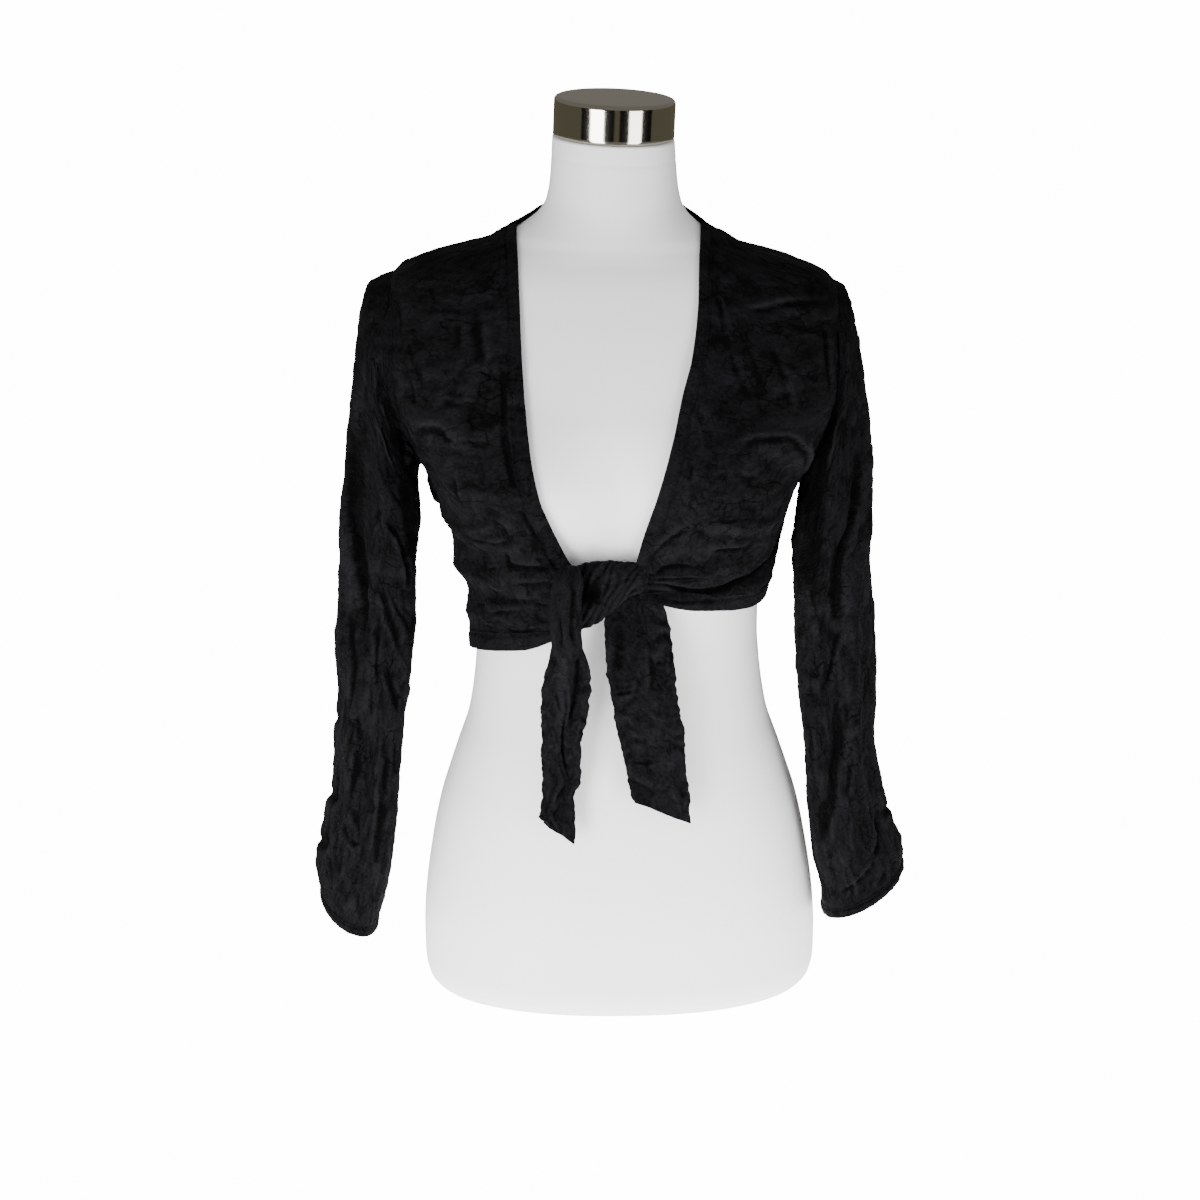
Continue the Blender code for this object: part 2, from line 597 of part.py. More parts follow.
def angle_at(level, distance, sign):
    """The angle at which the front of the form's ring lies a given distance from the middle."""
    half = smooth(FORM_RINGS, "half_width", level)
    square = smooth(FORM_RINGS, "square", level)
    depth = smooth(FORM_RINGS, "front", level)
    share = np.clip(distance / half, 0.0, 0.9999)
    ahead = depth * (1 - share**square) ** (1 / square)
    return sign * np.degrees(np.arctan2(share * half, ahead))


def armhole(side, around, shrink=0.0):
    """Angle and level along an armhole, from the shoulder tip, 0, over the front, 90."""
    turn = np.radians(around)
    middle = (side.shoulder_tip + side.armpit) / 2
    half = (side.shoulder_tip - side.armpit) / 2 - shrink
    narrow = np.degrees(shrink / side_radius(side))
    reach = np.where(np.sin(turn) > 0, ARMHOLE_FRONT, ARMHOLE_BACK) - narrow
    return side.sign * (90 - reach * np.sin(turn)), middle + half * np.cos(turn)


def side_radius(side):
    """Distance from the form's axis to the cloth at the middle of an armhole."""
    return float(smooth(FORM_RINGS, "half_width", (side.shoulder_tip + side.armpit) / 2))


def grid_normals(grid, closed):
    """Unit normals of a grid of points, from its neighbours along each row and column."""
    if closed:
        across = np.roll(grid, -1, axis=1) - np.roll(grid, 1, axis=1)
    else:
        across = np.gradient(grid, axis=1)
    normal = np.cross(across, np.gradient(grid, axis=0))
    return normal / np.linalg.norm(normal, axis=-1, keepdims=True)


def add_object(name, mesh, finish, collection):
    """An object in the collection, with a material of its own."""
    title, colour, roughness, metallic = finish
    material = bpy.data.materials.new(f"{name}_{title}")
    material.use_nodes = True
    shader = material.node_tree.nodes["Principled BSDF"]
    shader.inputs["Base Color"].default_value = (*colour, 1.0)
    shader.inputs["Roughness"].default_value = roughness
    shader.inputs["Metallic"].default_value = metallic
    mesh.materials.append(material)
    thing = bpy.data.objects.new(name, mesh)
    collection.objects.link(thing)
    return thing


def mesh_from(name, build):
    """A smooth-shaded mesh whose faces point outwards, filled by the given function."""
    shape = bmesh.new()
    build(shape)
    bmesh.ops.recalc_face_normals(shape, faces=shape.faces)
    if shape.calc_volume(signed=True) < 0:
        bmesh.ops.reverse_faces(shape, faces=shape.faces)
    mesh = bpy.data.meshes.new(name)
    shape.to_mesh(mesh)
    shape.free()
    mesh.shade_smooth()
    mesh.set_sharp_from_angle(angle=math.radians(SHARP_ANGLE))
    return mesh


def wall_mesh(name, outer, inner, closed=False):
    """A cloth wall between two grids of points, open at its ends or closed round each row."""
    rows, columns = outer.shape[:2]

    def build(shape):
        sheets = [[[shape.verts.new(p) for p in row] for row in placed(grid)] for grid in (outer, inner)]
        spans = columns if closed else columns - 1
        for i in range(rows - 1):
            for j in range(spans):
                k = (j + 1) % columns
                for sheet in sheets:
                    shape.faces.new((sheet[i][j], sheet[i][k], sheet[i + 1][k]))
                    shape.faces.new((sheet[i][j], sheet[i + 1][k], sheet[i + 1][j]))
        top, under = sheets
        for i in (0, rows - 1):
            for j in range(spans):
                k = (j + 1) % columns
                shape.faces.new((top[i][j], top[i][k], under[i][k], under[i][j]))
        if closed:
            return
        for j in (0, columns - 1):
            for i in range(rows - 1):
                shape.faces.new((top[i][j], top[i + 1][j], under[i + 1][j], under[i][j]))

    return mesh_from(name, build)


def add_cloth(name, outer, inner, collection, closed=False):
    """A piece of the knit cloth between two grids of points."""
    add_object(name, wall_mesh(name, outer, inner, closed), BLACK_KNIT, collection)


def solid_mesh(name, rings):
    """A closed solid lofted through rings of equal count, with flat ends."""

    def build(shape):
        loops = [[shape.verts.new(p) for p in ring] for ring in placed(rings)]
        count = len(loops[0])
        for low, high in zip(loops, loops[1:]):
            for j in range(count):
                k = (j + 1) % count
                shape.faces.new((low[j], low[k], high[k], high[j]))
        shape.faces.new(loops[0])
        shape.faces.new(loops[-1])

    return mesh_from(name, build)


def add_form(collection):
    """The dress form: a lofted body with a flat base, and a turned cap on its neck."""
    listed = np.array([ring.level for ring in FORM_RINGS])
    body = np.linspace(*FORM_BODY_LEVELS, FORM_BODY_ROWS)
    levels = np.concatenate([listed[listed < body[0]], body, listed[listed > body[-1]]])
    angles = np.arange(FORM_AROUND) * 360 / FORM_AROUND
    rings = form_point(angles[None, :], levels[:, None])
    add_object("form_torso", solid_mesh("form_torso", rings), WHITE_SHELL, collection)

    profile = bmesh.new()
    corner = [math.radians(90 - 90 * i / CAP_EDGE_STEPS) for i in range(CAP_EDGE_STEPS + 1)]
    middle = (CAP_RADIUS - CAP_EDGE, CAP_HEIGHT - CAP_EDGE)
    rim = [(middle[0] + CAP_EDGE * math.cos(a), middle[1] + CAP_EDGE * math.sin(a)) for a in corner]
    outline = [(0.0, CAP_HEIGHT), *rim, (CAP_RADIUS, 0.0), (0.0, 0.0)]
    points = [profile.verts.new((radius, 0.0, height)) for radius, height in outline]
    for start, end in zip(points, points[1:]):
        profile.edges.new((start, end))
    mesh = bpy.data.meshes.new("form_cap")
    profile.to_mesh(mesh)
    profile.free()
    cap = add_object("form_cap", mesh, BRIGHT_METAL, collection)
    turned = cap.modifiers.new("turned", "SCREW")
    turned.steps = turned.render_steps = FORM_AROUND
    turned.use_merge_vertices = True
    turned.merge_threshold = 0.00005
    seat = placed(np.array([0.0, NECK_MIDDLE_Y, NECK_TOP + SEAM_GAP]))
    cap.location = Vector(seat)
    cap.rotation_euler = Vector((NECK_SLOPE, -NECK_NOD, 1.0)).to_track_quat("Z", "Y").to_euler()


def ridge_level(distance):
    """The level at which the shoulder's ridge lies a given distance from the middle."""
    upper = [ring for ring in reversed(FORM_RINGS) if ring.level > SHOULDER_LEVEL]
    return np.interp(distance, [ring.half_width for ring in upper], [ring.level for ring in upper])


def neck_levels(name):
    """Levels on the shoulder's ridge of the band's outer and inner side."""
    top = FRONT_EDGES[name][-1]
    return ridge_level(top.edge + top.band) - SEAM_GAP, ridge_level(top.edge)


def row_levels(name):
    """Levels of a panel's rows at its side: up from the hem, round the armhole, up to the neck."""
    side = SIDES[name]
    below = np.linspace(side.hem_side + HEM_WIDTH + SEAM_GAP, side.armpit, BELOW_ARMHOLE, endpoint=False)
    _, along = armhole(side, np.linspace(180, 0, SLEEVE_AROUND // 2 + 1))
    above = np.linspace(side.shoulder_tip, neck_levels(name)[0], ABOVE_ARMHOLE + 1)[1:]
    return np.concatenate([below, along, above])


def armhole_angles(side, levels, reach):
    """Angles back from the side at which rows meet the armhole, nought above and below it."""
    middle = (side.shoulder_tip + side.armpit) / 2
    half = (side.shoulder_tip - side.armpit) / 2
    share = np.clip((levels - middle) / half, -1.0, 1.0)
    return reach * np.sqrt(1 - share**2)


def front_inner(name, levels):
    """Level and distance from the middle of each row's inner end."""
    side, edges = SIDES[name], FRONT_EDGES[name]
    inner = smooth(FRONT_ROWS[name], "inner_level", levels)
    seam = smooth(edges, "edge", inner) + smooth(edges, "band", inner) + EDGE_GAP
    foot = edges[0].level - FOOT_GAP
    return inner, side.knot_edge + (seam - side.knot_edge) * step_up(inner, side.knot_level, foot)


def front_places(name, shares):
    """Angles and levels of a front panel, rows by shares of its width from the inner end."""
    side = SIDES[name]
    outer_levels = row_levels(name)
    inner_levels, distance = front_inner(name, outer_levels)
    inner_angles = angle_at(inner_levels, distance, side.sign)
    outer_angles = side.sign * (90 - armhole_angles(side, outer_levels, ARMHOLE_FRONT) - SEAM_ANGLE)
    angles = inner_angles[:, None] + (outer_angles - inner_angles)[:, None] * shares
    hem = step_up(shares, 0.0, side.hem_share) if side.hem_share < 1 else shares
    low = step_up(HEM_SWEEP_LEVEL - outer_levels, 0.0, HEM_SWEEP_FADE)[:, None]
    rise = shares + (hem - shares) * low
    return angles, inner_levels[:, None] + (outer_levels - inner_levels)[:, None] * rise


def add_panel(name, angles, levels, collection, proud=0.0):
    """A wall of cloth on the body between the given angles and levels."""
    add_cloth(name, cloth_point(angles, levels, -proud), cloth_point(angles, levels, WALL), collection)


def add_hem(name, angles, levels, width, collection):
    """The turned hem under a panel's lowest row."""
    across = np.linspace(0.0, 1.0, 3)[:, None]
    hem_levels = levels - SEAM_GAP - width * (1 - across)
    add_panel(f"hem_band_{name}", angles + 0 * across, hem_levels, collection, BAND_PROUD)


def even_shares(name):
    """Shares of the band's height at which its rows are evenly spaced along the front edge."""
    edges = FRONT_EDGES[name]
    share = np.linspace(0.0, 1.0, EDGE_SAMPLES)
    levels = edges[0].level + (neck_levels(name)[1] - edges[0].level) * share
    path = form_point(angle_at(levels, smooth(edges, "edge", levels), SIDES[name].sign), levels)
    length = np.concatenate([[0.0], np.cumsum(np.linalg.norm(np.diff(path, axis=0), axis=1))])
    return np.interp(np.linspace(0.0, length[-1], BAND_ROWS), length, share)


def add_front(name, collection):
    """A front panel with the hem under it and the band along its edge."""
    side, edges = SIDES[name], FRONT_EDGES[name]
    shares = np.linspace(0.0, 1.0, FRONT_COLUMNS + 1)
    angles, levels = front_places(name, shares)
    add_panel(f"front_{name}", angles, levels, collection)
    width = HEM_WIDTH_AT_KNOT + (HEM_WIDTH - HEM_WIDTH_AT_KNOT) * step_up(shares, 0.0, HEM_WIDENS_BY)
    add_hem(name, angles[0], levels[0], width, collection)

    across = np.linspace(0.0, 1.0, 3)
    inner_top, outer_top = neck_levels(name)[::-1]
    tops = inner_top + (outer_top - inner_top) * across
    share = even_shares(name)[:, None]
    band_levels = edges[0].level + (tops - edges[0].level) * share
    distance = smooth(edges, "edge", band_levels) + smooth(edges, "band", band_levels) * across
    band_angles = angle_at(band_levels, distance, side.sign)
    add_panel(f"neck_band_{name}", band_angles, band_levels, collection, BAND_PROUD)


def add_back(collection):
    """The back panel with its hem and the band round the back of the neck."""
    right, left = SIDES["right"], SIDES["left"]
    shares = np.linspace(0.0, 1.0, BACK_COLUMNS + 1)
    left_levels, right_levels = row_levels("left"), row_levels("right")
    start = 90 + SEAM_ANGLE + armhole_angles(left, left_levels, ARMHOLE_BACK)
    end = 270 - SEAM_ANGLE - armhole_angles(right, right_levels, ARMHOLE_BACK)
    angles = start[:, None] + (end - start)[:, None] * shares
    levels = left_levels[:, None] + (right_levels - left_levels)[:, None] * step_up(shares, 0.0, 1.0)
    seam_level = levels[-1]
    rise = (NECK_BACK_LEVEL - NECK_BAND_HEIGHT - seam_level) * np.sin(np.pi * shares) ** NECK_ARCH
    levels = levels + rise * step_up(levels, SHOULDER_LEVEL, seam_level)
    add_panel("back", angles, levels, collection)
    add_hem("back", angles[0], levels[0], HEM_WIDTH, collection)

    across = np.linspace(0.0, 1.0, 3)[:, None]
    left_height, right_height = [neck_levels(name)[1] - neck_levels(name)[0] for name in ("left", "right")]
    height = left_height + (right_height - left_height) * shares
    height = height + (NECK_BAND_HEIGHT - height) * np.sqrt(np.sin(np.pi * shares))
    band_levels = levels[-1] + SEAM_GAP + height * across
    add_panel("neck_band_back", angles[-1] + 0 * across, band_levels, collection, BAND_PROUD)


def sleeve_grid(name, downs, around):
    """Points of a sleeve's outer side: rows down the sleeve by angles round it."""
    side, sections = SIDES[name], SLEEVE_SECTIONS[name]
    turn = np.radians(around)[None, :]

    def column(title):
        return smooth(sections, title, downs)[:, None]

    share = (1 + np.cos(turn)) / 2
    x = column("inner") + (column("outer") - column("inner")) * share
    z = column("inner_level") + (column("outer_level") - column("inner_level")) * share
    y = column("middle_y") - column("half_depth") * np.sin(turn) + column("turn") * np.cos(turn)
    z = z + column("cap") * np.sin(turn) ** 2
    grid = np.stack([side.sign * x, y, z], axis=-1)
    rising = step_up(downs, 0.0, HEAD_RISE_END)[:, None]
    mouth = armhole(side, around[None, :], ARMHOLE_GAP + HEAD_SHRINK * rising)
    seam = cloth_point(*mouth, -HEAD_LIFT * rising)
    hold = step_up(SLEEVE_SEAM_FADE - downs, 0.0, SLEEVE_SEAM_FADE)
    return grid + hold[:, None, None] * (seam - grid[:1])


def pushed_clear(points, clearance):
    """Points moved out from the form's axis where they lie closer to the cloth on it than the clearance."""
    reach = np.hypot(points[..., 0], points[..., 1])
    angle = np.degrees(np.arctan2(points[..., 0], -points[..., 1]))
    cloth = cloth_point(angle, points[..., 2])
    away = np.maximum(np.hypot(cloth[..., 0], cloth[..., 1]) + clearance - reach, 0.0) / reach
    return points + points * away[..., None] * [1.0, 1.0, 0.0]


def folded_sleeve(name, downs, around):
    """Outer and inner points of the sleeve with its folds, and the unit vectors out of it."""
    side = SIDES[name]
    grid = sleeve_grid(name, downs, around)
    outward = grid_normals(grid, True) * -side.sign
    height = fold_height(SLEEVE_FOLDS[name], around[None, :], downs[:, None], SLEEVE_RADIUS)
    outer = grid + outward * height[..., None]
    outer[1:] = pushed_clear(outer[1:], SLEEVE_CLEARANCE + WALL)
    outward = grid_normals(outer, True) * -side.sign
    inner = outer - WALL * outward
    inner[1:] = pushed_clear(inner[1:], SLEEVE_CLEARANCE)
    inner[0] = cloth_point(*armhole(side, around, ARMHOLE_GAP), WALL)
    return outer, inner, outward


def add_sleeve(name, collection):
    """An empty sleeve hanging from its armhole, and the narrow hem at its wrist."""
    sections = SLEEVE_SECTIONS[name]
    around = np.arange(SLEEVE_AROUND) * 360 / SLEEVE_AROUND
    downs = np.linspace(HEAD_ROWS[-1] + HEAD_ROWS[1], sections[-1].down, SLEEVE_ROWS - len(HEAD_ROWS))
    downs = np.concatenate([HEAD_ROWS, downs])
    outer, inner, outward = folded_sleeve(name, downs, around)
    add_cloth(f"sleeve_{name}", outer, inner, collection, True)

    along = outer[-1] - outer[-2]
    along = along / np.linalg.norm(along, axis=-1, keepdims=True)
    rows = np.stack([outer[-1] + along * step for step in (SEAM_GAP, CUFF_WIDTH / 2, CUFF_WIDTH)])
    bulge = np.array([0.0, CUFF_BULGE, 0.0])[:, None, None]
    outer, inner = rows + (bulge + BAND_PROUD) * outward[-1], rows - WALL * outward[-1]
    add_cloth(f"cuff_hem_{name}", outer, inner, collection, True)


def add_tail(name, collection):
    """A free end of the tie, hanging in a lengthwise fold."""
    rows = TAIL_ROWS[name]
    downs = np.linspace(0.0, rows[-1].down, TAIL_STEPS)[:, None]
    shares = np.linspace(0.0, 1.0, TAIL_COLUMNS)[None, :]

    def column(title):
        return smooth(rows, title, downs)

    x = column("left_x") + (column("right_x") - column("left_x")) * shares
    z = column("left_level") + (column("right_level") - column("left_level")) * shares
    valley = np.exp(-(((shares - TAIL_GROOVES[name]) / TAIL_GROOVE_WIDTH) ** 2))
    ends = TAIL_EDGE_CURL * np.abs(2 * shares - 1) ** 3
    y = column("y") + column("groove") * (valley + ends)
    outer = np.stack([x, y, z], axis=-1)
    outward = -grid_normals(outer, False)
    outward = outward * np.sign(-outward[..., 1:2])
    add_cloth(f"tie_tail_{name}", outer, outer - WALL * outward, collection)


def pleated_ring(row, axis, turn):
    """An oval ring round a knotted piece, with shallow pleats."""
    pleat = 1 + KNOT_PLEAT_DEPTH / row.half_depth * np.cos(KNOT_PLEATS * turn)
    across = row.across + row.half_across * np.cos(turn)
    y = row.y - row.half_depth * np.sin(turn) * pleat
    along = row.along + 0 * turn
    return np.stack([along, y, across] if axis == "x" else [across, y, along], axis=-1)


def add_knot_piece(name, sections, axis, collection):
    """A gathered piece of the knot, lofted through oval sections."""
    turn = np.radians(np.arange(KNOT_AROUND) * 360 / KNOT_AROUND)
    places = np.linspace(sections[0].along, sections[-1].along, KNOT_STEPS)
    columns = [smooth(sections, title, places) for title in KnotSection._fields[1:]]
    rows = [KnotSection(*row) for row in zip(places, *columns)]
    rings = np.stack([pleated_ring(row, axis, turn) for row in rows])
    add_object(name, solid_mesh(name, rings), BLACK_KNIT, collection)


def main():
    """Clears the scene and builds every piece into one collection."""
    for thing in list(bpy.data.objects):
        bpy.data.objects.remove(thing, do_unlink=True)
    collection = bpy.data.collections.new("shrug_on_dress_form")
    bpy.context.scene.collection.children.link(collection)
    add_form(collection)
    add_back(collection)
    for name in SIDES:
        add_front(name, collection)
        add_sleeve(name, collection)
        add_tail(name, collection)
    add_knot_piece("tie_knot_wrap", WRAP_SECTIONS, "x", collection)
    add_knot_piece("tie_knot_strand", STRAND_SECTIONS, "z", collection)


main()
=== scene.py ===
"""Dressing of the knitted tie-front shrug and of the limbless dress form that wears it.

Every piece of cloth is a thin shell between two fine grids of points, with its folds, creases
and crushed texture set in. Sizes are in metres, angles in degrees. The form faces -Y
and +X is the wearer's left. A place on the body is its angle round from the middle of the
front towards +X, and its level, the height of the form's ring there. A place on a sleeve is
its angle from the outer side, 0, over the front, 90, and its distance down from the armhole.
"""

import logging
import math
from dataclasses import dataclass, field, replace
from enum import Enum
from functools import cached_property
from typing import Any, Mapping, Optional, Sequence, Union

import bpy
import numpy as np
from mathutils import Matrix, Vector

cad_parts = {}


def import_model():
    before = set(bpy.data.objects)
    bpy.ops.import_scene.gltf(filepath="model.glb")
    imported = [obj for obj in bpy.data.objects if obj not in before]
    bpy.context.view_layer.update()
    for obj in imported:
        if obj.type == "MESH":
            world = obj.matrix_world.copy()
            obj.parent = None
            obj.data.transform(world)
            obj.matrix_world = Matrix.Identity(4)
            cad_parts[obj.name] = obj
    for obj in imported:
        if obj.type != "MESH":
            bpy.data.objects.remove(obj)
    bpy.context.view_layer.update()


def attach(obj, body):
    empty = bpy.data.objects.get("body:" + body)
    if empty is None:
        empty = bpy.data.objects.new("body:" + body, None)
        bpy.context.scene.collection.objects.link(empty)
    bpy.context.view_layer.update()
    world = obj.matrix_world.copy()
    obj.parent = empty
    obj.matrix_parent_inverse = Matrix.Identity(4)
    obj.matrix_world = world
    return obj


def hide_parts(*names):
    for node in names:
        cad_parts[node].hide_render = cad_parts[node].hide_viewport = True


Grid = np.ndarray
Value = Union["Link", float]
Key = Union[str, int]
Pair = tuple[float, float]
Colour = tuple[float, float, float]
FINE_STEPS = 500
LOG = logging.getLogger("shrug")


# ---- Curves and noise ----


def step_up(value: Grid, start: float, end: float) -> Grid:
    """Rises from 0 before the start to 1 after the end, in a soft S."""
    share = np.clip((value - start) / (end - start), 0.0, 1.0)
    return share * share * (3 - 2 * share)


def bell(value: Grid, width: float) -> Grid:
    """A bell of height 1 at nought, as wide as asked."""
    return np.exp(-((value / width) ** 2))


def wrapped(angle: Grid) -> Grid:
    """Angles brought to between -180 and 180."""
    return (angle + 180) % 360 - 180


def unit(vectors: Grid) -> Grid:
    """Vectors brought to length 1."""
    return vectors / np.maximum(np.linalg.norm(vectors, axis=-1, keepdims=True), 1e-12)


def floats(text: str) -> tuple[float, ...]:
    """The numbers in a line of text."""
    return tuple(float(word) for word in text.split())


def lines_of(text: str) -> list[str]:
    """The lines of a text, without the empty ones and the headings, which start with #."""
    return [line.strip() for line in text.splitlines() if line.strip() and line.strip()[0] != "#"]


def number_rows(text: str) -> tuple[tuple[float, ...], ...]:
    """The numbers in each line of a text."""
    return tuple(floats(line) for line in lines_of(text))


@dataclass(frozen=True)
class Table:
    """Rows of numbers with named columns, read as smooth curves over their first column."""

    columns: str
    rows: tuple[tuple[float, ...], ...]

    @cached_property
    def data(self) -> Grid:
        """The rows as one array."""
        return np.array(self.rows, float)

    def column(self, name: str) -> Grid:
        """One whole column."""
        return self.data[:, self.columns.split().index(name)]

    def at(self, name: str, place: Any) -> Grid:
        """Reads a column on a curve that never overshoots.

        Args:
            name: The column.
            place: Values of the first column to read it at.

        Returns:
            The column's values there, held level past both ends.
        """
        knots, values = self.data[:, 0], self.column(name)
        slopes = np.diff(values) / np.diff(knots)
        before, after = slopes[:-1], slopes[1:]
        level = before * after <= 0
        middle = np.where(level, 0.0, 2 * before * after / np.where(level, 1.0, before + after))
        tangents = np.concatenate([slopes[:1], middle, slopes[-1:]])
        place = np.clip(np.asarray(place, float), knots[0], knots[-1])
        index = np.clip(np.searchsorted(knots, place, side="right") - 1, 0, len(knots) - 2)
        width = knots[index + 1] - knots[index]
        t = (place - knots[index]) / width
        start = values[index] * (1 + 2 * t) * (1 - t) ** 2 + tangents[index] * width * t * (1 - t) ** 2
        end = values[index + 1] * t * t * (3 - 2 * t) + tangents[index + 1] * width * t * t * (t - 1)
        return start + end

    def read(self, place: Any) -> dict[str, Grid]:
        """Reads every column, by its name."""
        return {name: self.at(name, place) for name in self.columns.split()}


def table(text: str) -> Table:
    """A table from a line of column names and a line of numbers for each section."""
    names, *rows = lines_of(text)
    return Table(names, tuple(floats(row) for row in rows))


def lattice_noise(x: Grid, y: Grid, cells: int, seed: int) -> Grid:
    """Smooth noise that repeats after a whole number of cells across.

    Args:
        x: Place across, in cells.
        y: Place along, in cells.
        cells: Number of cells after which the pattern repeats across.
        seed: Number that picks the pattern.

    Returns:
        Values from about -1 to 1, always the same for the same places and seed.
    """
    cell_x, cell_y = np.floor(x).astype(np.int64), np.floor(y).astype(np.int64)
    part_x, part_y = x - cell_x, y - cell_y
    ease_x = part_x**3 * (part_x * (part_x * 6 - 15) + 10)
    ease_y = part_y**3 * (part_y * (part_y * 6 - 15) + 10)

    def corner(right: int, up: int) -> Grid:
        """Slope of one corner of the cell, carried to the place."""
        key = ((cell_x + right) % cells) * 374761393 + (cell_y + up) * 668265263 + seed * 362437
        key = ((key ^ (key >> 13)) & 0xFFFFFFFF) * 1274126177
        turn = ((key ^ (key >> 16)) & 0xFFFF) * (2 * math.pi / 0x10000)
        return np.cos(turn) * (part_x - right) + np.sin(turn) * (part_y - up)

    low = corner(0, 0) + ease_x * (corner(1, 0) - corner(0, 0))
    high = corner(0, 1) + ease_x * (corner(1, 1) - corner(0, 1))
    return (low + ease_y * (high - low)) * 1.5


def grid_normals(grid: Grid, closed: bool) -> Grid:
    """Unit normals of a grid of points.

    Args:
        grid: Rows by columns of points.
        closed: Whether each row closes on itself.

    Returns:
        A unit vector for each point, by its neighbours along each row and column.
    """
    if closed:
        across = np.roll(grid, -1, axis=1) - np.roll(grid, 1, axis=1)
    else:
        across = np.gradient(grid, axis=1)
    return unit(np.cross(across, np.gradient(grid, axis=0)))


# ---- Folds, creases and crushed texture ----


@dataclass(frozen=True)
class Folds:
    """Large soft folds, each a straight ridge, or a trough where its height is below nought.

    Attributes:
        rows: For each fold its first angle and place, last angle and place, width and height.
        radius: Distance of the cloth from the axis that the angles turn about.
        taper: Share of a fold's length over which its ends fade.
    """

    rows: tuple[tuple[float, ...], ...]
    radius: float
    taper: float = 0.20

    def height(self, angle: Grid, place: Grid) -> Grid:
        """Summed height of the folds at the given angles and places.

        Args:
            angle: Degrees round the limb.
            place: Metres along it.

        Returns:
            Heights in metres.
        """
        scale = math.radians(self.radius)
        total = 0.0 * (angle + place)
        for first, start, last, end, width, height in self.rows:
            across, up = wrapped(last - first) * scale, end - start
            aside, rise = wrapped(angle - first) * scale, place - start
            length = math.hypot(across, up)
            along = (aside * across + rise * up) / length**2
            off = (aside * up - rise * across) / length
            ends = step_up(along, -self.taper, self.taper) * step_up(1 - along, -self.taper, self.taper)
            total = total + height * ends * bell(off, width)
        return total


CREASE_REACH = 5
ROLL_OFFSET = 1.9
ROLL_WIDTH = 1.5
LINE_STEPS = 5


@dataclass(frozen=True)
class Crease:
    """A sharp trough along a bent line, with a soft roll on the left of its way.

    Attributes:
        width: Half width of the trough.
        depth: Depth of the trough, or height of a ridge where it is below nought.
        roll: Height of the roll beside it.
        fade: Share of its length over which each end fades.
        path: Angles and places that it runs through, in turn.
    """

    width: float
    depth: float
    roll: float
    fade: float
    path: tuple[float, ...]

    def moved(self, angle: float, place: float) -> "Crease":
        """The same crease at another place."""
        steps = np.array(self.path).reshape(-1, 2) + [angle, place]
        return replace(self, path=tuple(steps.ravel().tolist()))

    def line(self, scale: float) -> Grid:
        """The crease's bent line through its places, from its first place, in metres.

        Args:
            scale: Metres to a degree.

        Returns:
            Points in metres, one row each.
        """
        points = np.array(self.path, float).reshape(-1, 2)
        points[:, 0] = (points[:, 0] - points[0, 0]) * scale
        spans = len(points) - 1
        if spans == 1:
            return points
        knots = np.arange(spans + 1.0)
        bends = Table("knot x y", tuple(zip(knots, points[:, 0], points[:, 1])))
        fine = np.linspace(0.0, spans, spans * LINE_STEPS + 1)
        return np.stack([bends.at("x", fine), bends.at("y", fine)], axis=-1)

    def height(self, angle: Grid, place: Grid, scale: float) -> Grid:
        """Height of the crease.

        Args:
            angle: Angles of the points.
            place: Levels or distances of the points.
            scale: Metres for each degree.

        Returns:
            The height that the crease adds at each point.
        """
        line = self.line(scale)
        x, y = np.broadcast_arrays(wrapped(angle - self.path[0]) * scale, place)
        total = np.zeros(x.shape)
        reach = CREASE_REACH * self.width
        low, high = line.min(axis=0) - reach, line.max(axis=0) + reach
        near = (x > low[0]) & (x < high[0]) & (y > low[1]) & (y < high[1])
        if not near.any():
            return total
        x, y = x[near], y[near]
        best, side, along = np.full(x.shape, 1e9), np.ones(x.shape), np.zeros(x.shape)
        for index, (start, end) in enumerate(zip(line, line[1:])):
            run, rise = end - start
            share = np.clip(((x - start[0]) * run + (y - start[1]) * rise) / (run**2 + rise**2), 0, 1)
            square = (x - start[0] - share * run) ** 2 + (y - start[1] - share * rise) ** 2
            closer = square < best
            turn = run * (y - start[1]) - rise * (x - start[0])
            best = np.where(closer, square, best)
            side = np.where(closer, np.sign(turn), side)
            along = np.where(closer, (index + share) / (len(line) - 1), along)
        off = np.sqrt(best) * side
        roll = self.roll * bell(off - ROLL_OFFSET * self.width, ROLL_WIDTH * self.width)
        shape = roll - self.depth * bell(off, self.width)
        total[near] = shape * step_up(along, 0.0, self.fade) * step_up(1 - along, 0.0, self.fade)
        return total


def creases(text: str) -> tuple[Crease, ...]:
    """Creases from lines of their width, depth, roll and fade, a bar, and their path."""
    rows = (line.split("|") for line in lines_of(text))
    return tuple(Crease(*floats(shape), floats(path)) for shape, path in rows)


